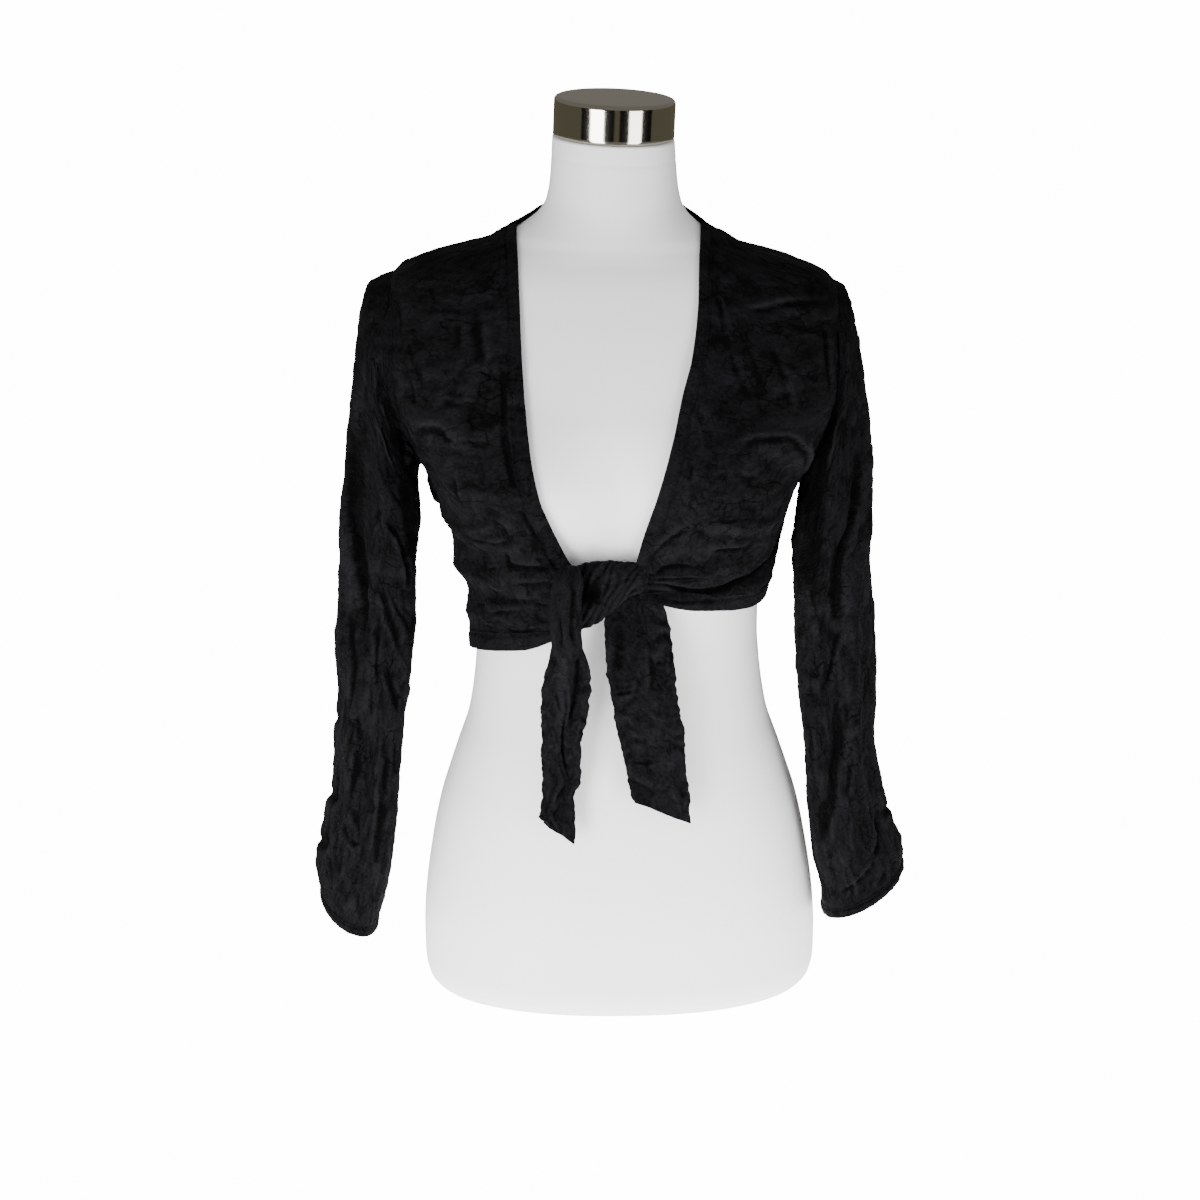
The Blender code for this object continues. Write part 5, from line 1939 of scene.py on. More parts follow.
@dataclass(frozen=True)
class Back:
    """The back panel with its hem and the band round the back of the neck.

    Attributes:
        rows: Numbers of the panel's rows below, along and above the armholes.
        neck_level: Level of the neck band's top at the middle of the back.
        arch: How square the neck's curve is.
        climb_level: Level above which the rows climb to the neck.
        seam_lap: How far the band reaches over the panel.
        lap: Angle by which the band's ends lap over the front bands.
        lap_share: Share of the band's length at each end that does so.
        lap_proud: How far the lapped ends stand out.
        lap_drop: How much lower they reach.
    """

    cuts: Mapping[str, Cut]
    columns: int = 190
    rows: tuple[int, int, int] = (70, 84, 30)
    neck_level: float = 0.6700
    band_height: float = 0.012
    arch: float = 0.8
    climb_level: float = 0.6000
    seam_lap: float = 0.0006
    lap: float = 4.0
    lap_share: float = 0.03
    lap_proud: float = 0.0007
    lap_drop: float = 0.0026

    def build(self) -> None:
        """Makes the panel without stitches, and its hem and its neck band, each with its stitches."""
        shares = np.linspace(0.0, 1.0, self.columns + 1)
        left, right = LEFT.row_levels(*self.rows), RIGHT.row_levels(*self.rows)
        start = 90 + LEFT.armhole_angles(left, ARMHOLE_BACK)
        end = 270 - RIGHT.armhole_angles(right, ARMHOLE_BACK)
        angles = start[:, None] + (end - start)[:, None] * shares
        levels = left[:, None] + (right - left)[:, None] * step_up(shares, 0.0, 1.0)
        seam = levels[-1]
        bend = np.clip(np.sin(np.pi * shares), 0.0, 1.0)
        rise = (self.neck_level - self.band_height - seam) * bend**self.arch
        levels = levels + rise * step_up(levels, self.climb_level, seam)
        add_panel("back", angles, levels, self.cuts["panel"])
        add_hem("back", angles[0], levels[0], HEM_WIDTH + 0 * shares, self.cuts["hem"])

        across = 1 - BAND.shares()[:, None]
        (left_low, left_high), (right_low, right_high) = LEFT.neck_levels(), RIGHT.neck_levels()
        height = (left_high - left_low) * (1 - shares) + (right_high - right_low) * shares
        height = height + (self.band_height - height) * np.sqrt(bend)
        reach = step_up(shares, 1 - self.lap_share, 1.0) - step_up(1 - shares, 1 - self.lap_share, 1.0)
        below = self.seam_lap + self.lap_drop * np.abs(reach)
        band_levels = levels[-1] - below + (height + below) * across
        band_angles = angles[-1] + self.lap * reach + 0 * across
        profile = BAND.profile(1 - across) + self.lap_proud * np.abs(reach)
        BAND.build("neck_band_back", band_angles, band_levels, profile, self.cuts["band"])


# ---- Sleeves ----


@dataclass(frozen=True)
class Sleeve:
    """An empty sleeve hanging from its armhole, with a narrow rolled hem at the wrist.

    Attributes:
        sections: Its sections by distance down from the armhole.
        rows: Numbers of rows of its outer and inner side.
        seam_fade: Distance down over which it leaves the armhole's shape.
        clearance: The least between it and the cloth on the body.
        wall: How far its outer side stands outside its sections.
        head_shrink: How much smaller than the armhole its head begins, and grows to be.
        head_lift: How far outside the cloth on the body the same places lie.
        head_calm: Distances down over which the fine relief sets in.
        cuff_lap: How far the wrist hem laps over the sleeve.
        cuff_stitch: Share of its width at which it is sewn down, and that groove's half width.
        cuff_calm: Share of the fine relief that is lost at the wrist.
        cuff_fade: Distances from the wrist over which it is lost.
    """

    side: Side
    sections: Table
    folds: Folds
    relief: Relief
    cuts: Mapping[str, Cut]
    around: int = 168
    rows: tuple[int, int] = (330, 110)
    seam_fade: float = 0.130
    clearance: float = 0.0008
    wall: float = 0.0016
    head_shrink: Pair = (-0.0008, 0.0024)
    head_lift: Pair = (-0.0007, 0.0020)
    head_rise: float = 0.012
    head_rows: int = 12
    head_calm: Pair = (0.002, 0.016)
    cuff_width: float = 0.007
    cuff_lap: float = 0.0012
    cuff_puff: float = 0.0009
    cuff_stitch: Pair = (0.18, 0.08)
    cuff_calm: float = 0.72
    cuff_fade: Pair = (0.014, 0.002)

    def angles(self) -> Grid:
        """Angles of the points round the sleeve."""
        return np.arange(self.around) * 360 / self.around - 180

    def plain(self, downs: Grid) -> Grid:
        """Points of the sleeve without folds: rows down the sleeve by angles round it.

        Args:
            downs: Metres down the sleeve, one for each row.

        Returns:
            Points by row and angle.
        """
        around = self.angles()[None, :]
        turn = np.radians(around)
        read = self.sections.read(downs[:, None])
        share = (1 + np.cos(turn)) / 2
        x = read["inner"] + (read["outer"] - read["inner"]) * share
        z = read["inner_level"] + (read["outer_level"] - read["inner_level"]) * share
        y = read["middle_y"] - read["half_depth"] * np.sin(turn) + read["turn"] * np.cos(turn)
        z = z + read["cap"] * np.sin(turn) ** 2
        grid = np.stack([self.side.sign * x, y, z], axis=-1)
        rising = step_up(downs, 0.0, self.head_rise)[:, None]
        shrink = self.head_shrink[0] + (self.head_shrink[1] - self.head_shrink[0]) * rising
        lift = self.head_lift[0] + (self.head_lift[1] - self.head_lift[0]) * rising
        seam = CLOTH.point(*self.side.armhole(around, shrink), lift)
        hold = step_up(self.seam_fade - downs, 0.0, self.seam_fade)
        return grid + hold[:, None, None] * (seam - grid[:1])

    def pushed_clear(self, points: Grid, clearance: float) -> Grid:
        """Points moved out from the form's axis where they lie too close to the cloth on it.

        Args:
            points: Points of the sleeve.
            clearance: Least distance from the cloth in metres.

        Returns:
            The points, clear of the cloth.
        """
        reach = np.hypot(points[..., 0], points[..., 1])
        angle = np.degrees(np.arctan2(points[..., 0], -points[..., 1]))
        cloth = CLOTH.point(angle, points[..., 2])
        away = np.maximum(np.hypot(cloth[..., 0], cloth[..., 1]) + clearance - reach, 0.0) / reach
        return points + points * away[..., None] * [1.0, 1.0, 0.0]

    def folded(self, downs: Grid) -> Grid:
        """Points of the sleeve's outer side with its large folds alone.

        Args:
            downs: Metres down the sleeve, one for each row.

        Returns:
            Points by row and angle.
        """
        grid = self.plain(downs)
        outward = grid_normals(grid, True) * self.side.sign
        rise = self.wall * step_up(downs, 0.0, self.head_rise)[:, None]
        height = rise + self.folds.height(self.angles()[None, :], downs[:, None])
        return grid + outward * height[..., None]

    def sheets(self) -> tuple[Sheet, Sheet, Grid]:
        """The sleeve's outer and inner side, and the unit vectors out of its last row.

        Returns:
            The two sheets and the vectors.
        """
        around, last = self.angles()[None, :], self.sections.column("down")[-1]
        head = np.linspace(0.0, self.head_rise, self.head_rows, endpoint=False)
        downs = np.concatenate([head, np.linspace(self.head_rise, last, self.rows[0] - self.head_rows)])
        smooth = self.folded(downs)
        outward = grid_normals(smooth, True) * self.side.sign
        wrist = step_up(downs, last - self.cuff_fade[0], last - self.cuff_fade[1])
        calm = step_up(downs, *self.head_calm) * (1 - self.cuff_calm * wrist)
        fine = self.relief.height(around, downs[:, None]) * calm[:, None]
        outer = smooth + outward * fine[..., None]
        outer[3:] = self.pushed_clear(outer[3:], self.clearance + KNIT_THICKNESS)
        outward = grid_normals(outer, True) * self.side.sign
        kept = np.unique(np.round(np.linspace(0, len(downs) - 1, self.rows[1])).astype(int))
        inner = outer[kept] - KNIT_THICKNESS * outward[kept]
        girth = 2 * math.pi * self.relief.radius
        across = np.radians(around) * self.relief.radius + 0 * downs[:, None]
        shade, along = self.relief.shade(fine), -downs[:, None] + 0 * across
        under = Sheet(inner, across[kept], along[kept], shade[kept], girth)
        return Sheet(outer, across, along, shade, girth), under, outward[-1]

    def build(self) -> None:
        """Makes the sleeve and its wrist hem."""
        name = self.side.name
        outer, inner, outward = self.sheets()
        carried = [f"front_{name}_knit", "back_knit"]
        add_cloth(f"sleeve_{name}", (outer, inner), SLEEVE_KNIT, self.cuts["sleeve"], Hold.HUNG, carried)
        along = unit(outer.points[-1] - outer.points[-4])
        share = BAND.shares()[:, None, None]
        points = outer.points[-1] + (share * (self.cuff_width + self.cuff_lap) - self.cuff_lap) * along
        puff = BAND.proud + self.cuff_puff * np.sqrt(np.clip(np.sin(np.pi * share), 0.0, 1.0))
        puff = puff - BAND.stitch_depth * bell(share - self.cuff_stitch[0], self.cuff_stitch[1])
        across = outer.across[-1:] + 0 * share[..., 0]
        places = outer.along[-1:] - share[..., 0] * self.cuff_width
        shade = outer.relief[-1:] + 0 * places
        cuff, under = (
            Sheet(points + rise * outward, across, places, shade, outer.girth)
            for rise in (puff, -KNIT_THICKNESS)
        )
        seam = Seam(round(self.cuff_stitch[0] * BAND.rows), closed=True)
        sleeve = [f"sleeve_{name}_knit"]
        add_cloth(f"cuff_hem_{name}", (cuff, under), BLACK_KNIT, self.cuts["hem"], Hold.HUNG, sleeve, seam)


SLEEVE_RADIUS = 0.046
SLEEVE_CRUSHES = (
    Crush(0.0125, 0.040, 0.0024, 51),
    Crush(0.0085, 0.018, 0.0013, 67),
    Crush(0.0055, 0.008, 0.0007, 79),
)

RIGHT_SLEEVE_CREASES = creases("""
    .0064 .0032 .0006 .3 | -42 .507 0 .502 26 .497 44 .485
    .0052 .0028 .001 .3 | -36 .46 0 .455 24 .451 40 .442
    .004 .002 .001 .3 | -28 .392 0 .388 30 .38
    .003 .0024 .0034 .3 | 130.7 .0672 135 .04 128 .012
    .0046 .0058 .001 .2 | 51.4 .1152 51.4 .148 55.7 .18 62.1 .2064 68.6 .2288 72.9 .256 83.6 .2928
    .0028 .0046 .0016 .25 | 102.9 .1608 113.6 .1712 126.4 .1832 135 .204 141.4 .2272 145.7 .2488
    .0028 .0038 .0016 .25 | 102.9 .2456 109.3 .26 115.7 .2768 126.4 .2944 137.1 .3168
    .0016 .0024 .001 .3 | 115.7 .2456 126.4 .2664 139.3 .2832 145.7 .296
    .002 .0034 .001 .25 | 60 .2776 66.4 .3032 75 .328 72.9 .3536 62.1 .3712
    .0016 .0034 .001 .3 | 92.1 .2896 100.7 .3008 100.7 .3224 105 .3456
    .0028 .0044 .0012 .25 | 113.6 .32 122.1 .3344 132.9 .3488 141.4 .3648
    .002 .0034 .001 .3 | 81.4 .364 83.6 .3768 87.9 .3912
    .0018 .0026 .001 .3 | 55.7 .3728 77.1 .3752 77.1 .3864 60 .4016
    .002 .0036 .0012 .25 | 85.7 .3944 85.7 .4088 83.6 .4224 79.3 .4392
    .0018 .0032 .001 .3 | 81.4 .4456 90 .4576 98.6 .4712
    .0018 .0026 .0008 .3 | 72.9 .4592 79.3 .4728 92.1 .48 105 .4792
    .0014 .0018 .0008 .3 | 94.3 .3424 96.4 .356 96.4 .3704
    .004 .003 .0006 .3 | 135 .3912 128.6 .4256 128.6 .4656 130.7 .5008
    .006 .007 0 .45 | 137.1 .0848 132.9 .1208 139.3 .1496 147.9 .1904 152.1 .2452
    .0018 .0034 .0014 .3 | 96.4 .0696 102.9 .0816 109.3 .092 120 .0968
    .0016 .0016 .001 .3 | 66.4 .1952 77.1 .2136 79.3 .2352
""")
LEFT_SLEEVE_CREASES = creases("""
    .0036 .003 .0012 .3 | -34 .486 0 .482 26 .478 42 .468
    .0044 .0072 .0014 .2 | 53.6 .1216 60 .1544 64.3 .1792 70.7 .1912 79.3 .2008 85.7 .2136 \
        90 .236 90 .264 87.9 .2912
    .0017 .0032 .001 .25 | 87.9 .2896 94.3 .3032 100.7 .3224 109.3 .3448
    .0046 .0044 .001 .2 | 96.4 .352 98.6 .3904 109.3 .4176 115.7 .4424 126.4 .4616 137.1 .484
    .009 .0085 0 .5 | 120 .032 120 .1 122.1 .148 126.4 .1888 130.7 .2552
    .0016 .0028 .0014 .2 | 124.3 .5296 105 .524 87.9 .5176 70.7 .5096
    .0028 .0046 .0018 .3 | 72.9 .5072 60 .4984 51.4 .4864 45 .4688
    .0014 .0016 .0008 .3 | 85.7 .3552 85.7 .3736 90 .3952
    .0014 .0016 .0008 .3 | 83.6 .4088 87.9 .4264 96.4 .444
""")
BACK_SLEEVE_CREASES = creases("""
    .003 .0042 .0014 .3 | -52 .11 -60 .16 -72 .21 -78 .27
    .0022 .0034 .001 .3 | -118 .15 -110 .2 -98 .24 -96 .28
    .0018 .003 .001 .3 | -74 .3 -84 .335 -88 .37
    .0034 .0044 .0012 .3 | -130 .3 -124 .36 -112 .41 -110 .45
    .002 .003 .001 .3 | -60 .39 -66 .43 -78 .47
    .0016 .0024 .0008 .3 | -100 .44 -92 .47 -96 .5
    .0026 .0034 .0012 .3 | -20 .08 -14 .15 -18 .22
    .0018 .0026 .001 .3 | 8 .3 -2 .34 4 .4
    .0024 .003 .001 .3 | 170 .16 176 .23 170 .3
    .002 .0026 .001 .3 | -30 .27 -36 .33 -28 .38
    .0016 .0022 .0008 .3 | 30 .42 24 .46 30 .5
""")

RIGHT_SLEEVE = Sleeve(
    RIGHT,
    table("""
    down outer outer_level inner inner_level middle_y half_depth turn cap
    0    .187  .6074 .156  .455  .006   .05   0     0
    .012 .1955 .6025 .158  .4585 .0055  .053  .0005 .003
    .025 .204  .5965 .1605 .458  .005   .055  .001  .005
    .042 .2085 .583  .163  .4545 .004   .057  .003  .006
    .065 .2118 .56   .1648 .447  .003   .057  .006  .005
    .095 .2145 .527  .165  .435  .002   .057  .01   .003
    .125 .219  .498  .1642 .42   0      .0565 .014  0
    .16  .2228 .462  .165  .403  -.002  .055  .018  0
    .2   .229  .425  .168  .388  -.004  .0525 .02   0
    .24  .2318 .378  .1695 .364  -.006  .0505 .02   0
    .28  .2345 .34   .1697 .335  -.007  .0485 .02   0
    .32  .2385 .3    .173  .299  -.008  .047  .019  0
    .36  .237  .26   .1795 .26   -.0085 .046  .018  0
    .4   .2415 .22   .184  .22   -.009  .046  .018  0
    .44  .2438 .18   .1878 .18   -.0095 .0468 .018  0
    .47  .2505 .152  .1915 .151  -.01   .0478 .018  0
    .5   .2572 .125  .194  .122  -.01   .0488 .019  0
    .53  .2602 .103  .201  .091  -.01   .0492 .02   0
    .557 .257  .081  .208  .064  -.01   .0492 .021  0
    """),
    Folds(
        number_rows("""
    40  .06 50  .33 .0104 .0065
    62  .08 78  .3  .0096 -.0045
    95  .12 125 .24 .0104 .0055
    20  .3  35  .52 .0112 -.004
    70  .31 80  .47 .0104 .006
    112 .29 95  .45 .0104 -.0045
    150 .14 150 .5  .012  .005
    200 .12 215 .42 .0112 -.005
    250 .09 240 .38 .0112 .0055
    290 .15 300 .5  .0112 -.005
    330 .08 325 .34 .0112 .005
        """),
        SLEEVE_RADIUS,
    ),
    Relief(SLEEVE_RADIUS, RIGHT_SLEEVE_CREASES + BACK_SLEEVE_CREASES, SLEEVE_CRUSHES, 0.0014),
    {"sleeve": Cut(0.270, 0.545), "hem": Cut(0.270, 0.010)},
)
LEFT_SLEEVE = Sleeve(
    LEFT,
    table("""
    down outer outer_level inner inner_level middle_y half_depth turn cap
    0    .187  .608  .144  .435  .006   .05   0     0
    .012 .1902 .604  .1465 .4395 .0055  .053  .0005 .003
    .025 .1932 .5975 .1482 .439  .005   .055  .001  .005
    .042 .1958 .586  .1495 .435  .004   .057  .003  .006
    .065 .1985 .564  .15   .426  .003   .057  .006  .005
    .095 .2027 .532  .15   .413  .002   .057  .01   .003
    .125 .2077 .503  .1478 .4    0      .0565 .014  0
    .16  .212  .462  .147  .385  -.002  .055  .018  0
    .2   .2122 .415  .1475 .37   -.004  .0525 .02   0
    .24  .2125 .377  .1486 .352  -.006  .0505 .02   0
    .28  .215  .338  .1487 .327  -.007  .0485 .02   0
    .32  .2178 .299  .1503 .295  -.008  .047  .019  0
    .36  .2185 .26   .1535 .26   -.0085 .046  .018  0
    .4   .218  .221  .1585 .22   -.009  .046  .018  0
    .44  .2225 .184  .1612 .18   -.0095 .0468 .018  0
    .47  .2285 .158  .1632 .15   -.01   .0478 .019  0
    .5   .2365 .133  .1665 .121  -.01   .0488 .02   0
    .525 .244  .115  .172  .098  -.01   .0495 .021  0
    .547 .244  .101  .175  .077  -.01   .05   .022  0
    """),
    Folds(
        number_rows("""
    35  .06 42  .2  .0104 .006
    42  .2  72  .29 .0104 .007
    72  .29 76  .48 .0112 .0055
    48  .25 50  .5  .012  -.0045
    100 .16 105 .42 .0112 -.0045
    140 .14 145 .48 .012  .005
    195 .12 205 .42 .0112 -.005
    245 .1  240 .4  .0112 .0055
    288 .15 296 .5  .0112 -.005
    325 .09 320 .36 .0112 .005
        """),
        SLEEVE_RADIUS,
    ),
    Relief(
        SLEEVE_RADIUS,
        LEFT_SLEEVE_CREASES + tuple(crease.moved(-12.0, 0.017) for crease in BACK_SLEEVE_CREASES),
        tuple(replace(crush, seed=crush.seed + 200) for crush in SLEEVE_CRUSHES),
        0.0014,
    ),
    {"sleeve": Cut(0.270, 0.535), "hem": Cut(0.290, 0.010)},
)


# ---- Tie ----


@dataclass(frozen=True)
class Tail:
    """A free end of the tie, hanging in a lengthwise fold.

    Attributes:
        rows: Its two edges and its depth by distance down.
        groove: Share of its width at which its fold lies.
        relief: Its creases, by share of its width in 90ths and distance down, and its texture.
        edge_curl: How far its edges curl back, as a share of the fold's depth.
        ragged: How far its edges stray.
        ragged_steps: Distances between the strays, large and small.
        ragged_reach: How far into the cloth they reach, as a share of its width.
        ragged_from: Distances down at which they start and are whole.
    """

    name: str
    rows: Table
    groove: float
    relief: Relief
    cut: Cut
    seed: int
    steps: int = 170
    columns: int = 60
    groove_width: float = 0.21
    edge_curl: float = 0.35
    ragged: float = 0.0013
    ragged_steps: Pair = (0.009, 0.004)
    ragged_reach: float = 0.16
    ragged_from: Pair = (0.01, 0.04)

    def build(self) -> None:
        """Makes the tail with its fold, creases and uneven edges."""
        last = self.rows.column("down")[-1]
        downs = np.linspace(0.0, last, self.steps)[:, None]
        shares = np.linspace(0.0, 1.0, self.columns)[None, :]
        read = self.rows.read(downs)
        x = read["left_x"] + (read["right_x"] - read["left_x"]) * shares
        z = read["left_level"] + (read["right_level"] - read["left_level"]) * shares
        large, small = self.ragged_steps
        start = step_up(downs, *self.ragged_from)
        for edge, place in ((0.0, 3.0), (1.0, 7.0)):
            nibble = lattice_noise(0 * downs + place, downs / large, 64, self.seed)
            nibble = nibble + 0.6 * lattice_noise(0 * downs + place, downs / small, 64, self.seed + 1)
            x = x + self.ragged * nibble * bell(shares - edge, self.ragged_reach) * start
        valley = bell(shares - self.groove, self.groove_width)
        ends = self.edge_curl * np.abs(2 * shares - 1) ** 3
        y = read["y"] + read["groove"] * (valley + ends)
        plain = np.stack([x, y, z], axis=-1)
        outward = -grid_normals(plain, False)
        outward = outward * np.sign(-outward[..., 1:2])
        angles = shares * 90
        fine = self.relief.height(angles + 0 * downs, downs + 0 * angles)
        outer = plain + outward * fine[..., None]
        across, along = shares * self.cut.width + 0 * downs, -downs + 0 * shares
        shade, inner = self.relief.shade(fine), outer - KNIT_THICKNESS * outward
        sides = Sheet(outer, across, along, shade), Sheet(inner, across, along, shade)
        add_cloth(f"tie_tail_{self.name}", sides, TIE_KNIT, self.cut, Hold.HUNG, ["tie_knot_wrap_knit"])


@dataclass(frozen=True)
class KnotPiece:
    """A gathered piece of the knot, lofted through oval sections.

    Attributes:
        sections: Middle and half sizes by place along it.
        lengthwise: Whether it runs across the body, and not up it.
        twist: Turn of the pleats along the piece, in degrees for each metre.
        relief: Its creases, by angle round it and place along it, and its texture.
        wander: How far the pleats stray.
        wander_size: Distance between the strays, in degrees round it and along it.
        swells: How much deeper the pleats are twice and three times round it.
        fullness: Their usual depth.
        patchiness: How much deeper they are in some places than in others.
        pleat_middle: Share of a pleat's depth that lies under the piece's surface.
        closing: Size of the end faces as a share of the end sections.
    """

    name: str
    sections: Table
    lengthwise: bool
    pleats: int
    pleat_depth: float
    twist: float
    relief: Relief
    cut: Cut
    wander: float = 0.45
    wander_size: Pair = (60.0, 0.014)
    swells: Pair = (0.35, 0.25)
    fullness: float = 0.72
    patchiness: float = 0.62
    patch_size: Pair = (72.0, 0.017)
    patch_range: Pair = (0.12, 1.3)
    pleat_middle: float = 0.6
    seed: int = 431
    around: int = 110
    steps: int = 110
    closing: float = 0.5
    flat_radius: float = 0.02

    def clouds(self, size: Pair, angle: Grid, places: Grid, seed: int) -> Grid:
        """Slow noise over the piece.

        Args:
            size: Distance between its hills, in degrees round the piece and in metres along it.
            angle: Degrees round the piece.
            places: Metres along it.
            seed: Which noise it is.

        Returns:
            The noise, about as much above nought as below.
        """
        degrees, metres = size
        x, y = angle / degrees + 0 * places, places / metres + 0 * angle
        return lattice_noise(x, y, round(360 / degrees), seed)

    def build(self) -> None:
        """Makes the piece with its pleats and creases."""
        along = self.sections.column("along")
        places = np.linspace(along[0], along[-1], self.steps)[:, None]
        angle = np.arange(self.around)[None, :] * 360 / self.around
        turn = np.radians(angle)
        read = self.sections.read(places)
        wander = self.clouds(self.wander_size, angle, places, self.seed)
        phase = np.radians(angle + self.twist * (places - along[0])) + self.wander * wander
        uneven = 1 + self.swells[0] * np.sin(2 * phase + 1.0) + self.swells[1] * np.sin(3 * phase)
        patch = self.clouds(self.patch_size, angle, places, self.seed + 1)
        uneven = uneven * np.clip(self.fullness + self.patchiness * patch, *self.patch_range)
        fine = self.relief.height(angle + 0 * places, places + 0 * angle)
        depth = self.pleat_depth * uneven * (np.abs(np.cos(self.pleats / 2 * phase)) - self.pleat_middle)
        reach = 1 + (depth + fine) / read["half_depth"]
        wide = 1 + (depth + fine) / read["half_across"]
        across = read["across"] + read["half_across"] * np.cos(turn) * wide
        y = read["y"] - read["half_depth"] * np.sin(turn) * reach
        run = places + 0 * turn
        grid = np.stack([run, y, across] if self.lengthwise else [across, y, run], axis=-1)
        middles = grid.mean(axis=1, keepdims=True)
        small = middles + (grid - middles) * self.closing
        points = np.concatenate([small[:1], grid, small[-1:]])
        flat = turn * self.flat_radius + 0 * places
        # The pleats' depth joins the creases in the relief layer, so the pleats' hollows get painted shade
        # too.
        parts = (flat, run, self.relief.shade(fine + depth))
        maps = (np.pad(part, ((1, 1), (0, 0)), mode="edge") for part in parts)
        title = f"tie_knot_{self.name}_knit"
        body = Sheet(points, *maps, 2 * math.pi * self.flat_radius)
        piece = add_piece(title, loft_mesh(title, body), TIE_KNIT, f"tie_knot_{self.name}")
        self.cut.declare(piece, Hold.GATHERED, ["front_left_knit", "front_right_knit"])


RIGHT_TAIL_CREASES = creases("""
    .0022 .003 .0012 .25 | 57.5 0 64 .0136 62.5 .0312 60 .048 56 .0616 57 .0776
    .0014 .0028 .0008 .3 | 34.5 .0296 42.5 .0464 44.5 .0656 46.5 .0856 53.5 .1048 61 .12
    .0012 .0016 .0006 .3 | 24 .0384 33 .0512 38.5 .06
    .0058 -.0042 0 .3 | 38 -.02 39 .015 42 .03 46 .055 52 .082
""")
LEFT_TAIL_CREASES = creases("""
    .0036 .0014 .0008 .45 | 19.5 .0152 20 .0384 16.5 .056 11.5 .0784
    .0012 .0014 .0008 .3 | 3 .0832 22.5 .0824 42 .0792
    .0012 .0014 .0006 .3 | 9.5 .1408 28 .1416 45.5 .1384
    .0014 .0012 .0008 .3 | 60 .0384 60 .0608 52.5 .0856
""")
TAIL_RADIUS = 0.029
RIGHT_TAIL = Tail(
    "right",
    table("""
    down left_x left_level right_x right_level y groove
    0    -.0525 .3328 -.0285 .3328 -.1322 .004
    .017 -.056  .3165 -.0232 .3165 -.1305 .0065
    .03  -.0598 .304  -.0215 .304  -.1285 .0082
    .055 -.062  .279  -.023  .279  -.1275 .0088
    .08  -.0618 .254  -.0285 .254  -.1265 .0084
    .095 -.063  .24   -.03   .24   -.126  .0078
    .118 -.0618 .215  -.0305 .216  -.1255 .009
    .132 -.0628 .201  -.0362 .202  -.125  .007
    .147 -.0645 .187  -.035  .185  -.125  .005
    .163 -.061  .18   -.0362 .162  -.125  .003
    """),
    0.60,
    Relief(
        TAIL_RADIUS,
        RIGHT_TAIL_CREASES,
        (Crush(0.012, 0.016, 0.0022, 301), Crush(0.006, 0.007, 0.0011, 307)),
    ),
    Cut(0.047, 0.165),
    seed=6,
)
LEFT_TAIL = Tail(
    "left",
    table("""
    down left_x left_level right_x right_level y groove
    0    -.006  .37  .033  .37  -.1055 .002
    .018 -.009  .352 .04   .352 -.1065 .0025
    .028 -.0105 .342 .0425 .342 -.1095 .006
    .04  -.01   .33  .044  .33  -.115  .009
    .058 -.0092 .312 .0462 .312 -.1185 .0095
    .088 -.0046 .282 .0488 .282 -.1205 .0085
    .115 -.0005 .255 .054  .255 -.121  .007
    .142 .0058  .229 .0552 .227 -.121  .0055
    .165 .0088  .209 .058  .203 -.121  .0045
    .184 .0125  .196 .059  .178 -.121  .0035
    """),
    0.27,
    Relief(
        TAIL_RADIUS,
        LEFT_TAIL_CREASES,
        (Crush(0.012, 0.018, 0.0022, 311), Crush(0.006, 0.007, 0.0011, 317)),
    ),
    Cut(0.060, 0.186),
    seed=5,
)
WRAP = KnotPiece(
    "wrap",
    table("""
    along across y half_across half_depth
    -.0338 .3685 -.1205 .0255 .0072
    -.029  .37   -.1208 .0266 .008
    -.023  .372  -.121  .0265 .0085
    -.012  .3757 -.1215 .024  .009
    -.002  .38   -.1215 .019  .0085
    .0064  .3835 -.121  .015  .0078
    .0131  .3855 -.1205 .0128 .0068
    .02    .385  -.1185 .0125 .0052
    .027   .384  -.115  .0115 .0024
    """),
    lengthwise=True,
    pleats=8,
    pleat_depth=0.0026,
    twist=5200.0,
    relief=Relief(
        0.020,
        creases("""
    .0048 .0062 0 .2 | 62 -.031 84 -.022 92 -.012
        """),
        (Crush(0.006, 0.008, 0.0010, 401),),
    ),
    cut=Cut(0.062, 0.062),
)
STRAND = KnotPiece(
    "strand",
    table("""
    along across y half_across half_depth
    .318  -.0405 -.1268 .006  .0012
    .325  -.0408 -.13   .01   .0036
    .3335 -.0405 -.1326 .0122 .0052
    .343  -.0408 -.1342 .0124 .0064
    .356  -.0412 -.1355 .013  .007
    .37   -.0405 -.1357 .013  .0072
    .384  -.039  -.1355 .0122 .007
    .3925 -.038  -.1345 .0105 .0058
    .3985 -.037  -.1327 .007  .004
    """),
    lengthwise=False,
    pleats=5,
    pleat_depth=0.0012,
    twist=-400.0,
    relief=Relief(
        0.012,
        creases("""
    .0016 .0022 .0008 .3 | 60 .33 66 .35 62 .372 70 .39
    .0012 .0016 .0006 .3 | 112 .328 106 .345 110 .362
        """),
        (Crush(0.006, 0.012, 0.0008, 409),),
    ),
    cut=Cut(0.040, 0.078),
)


# ---- Studio ----


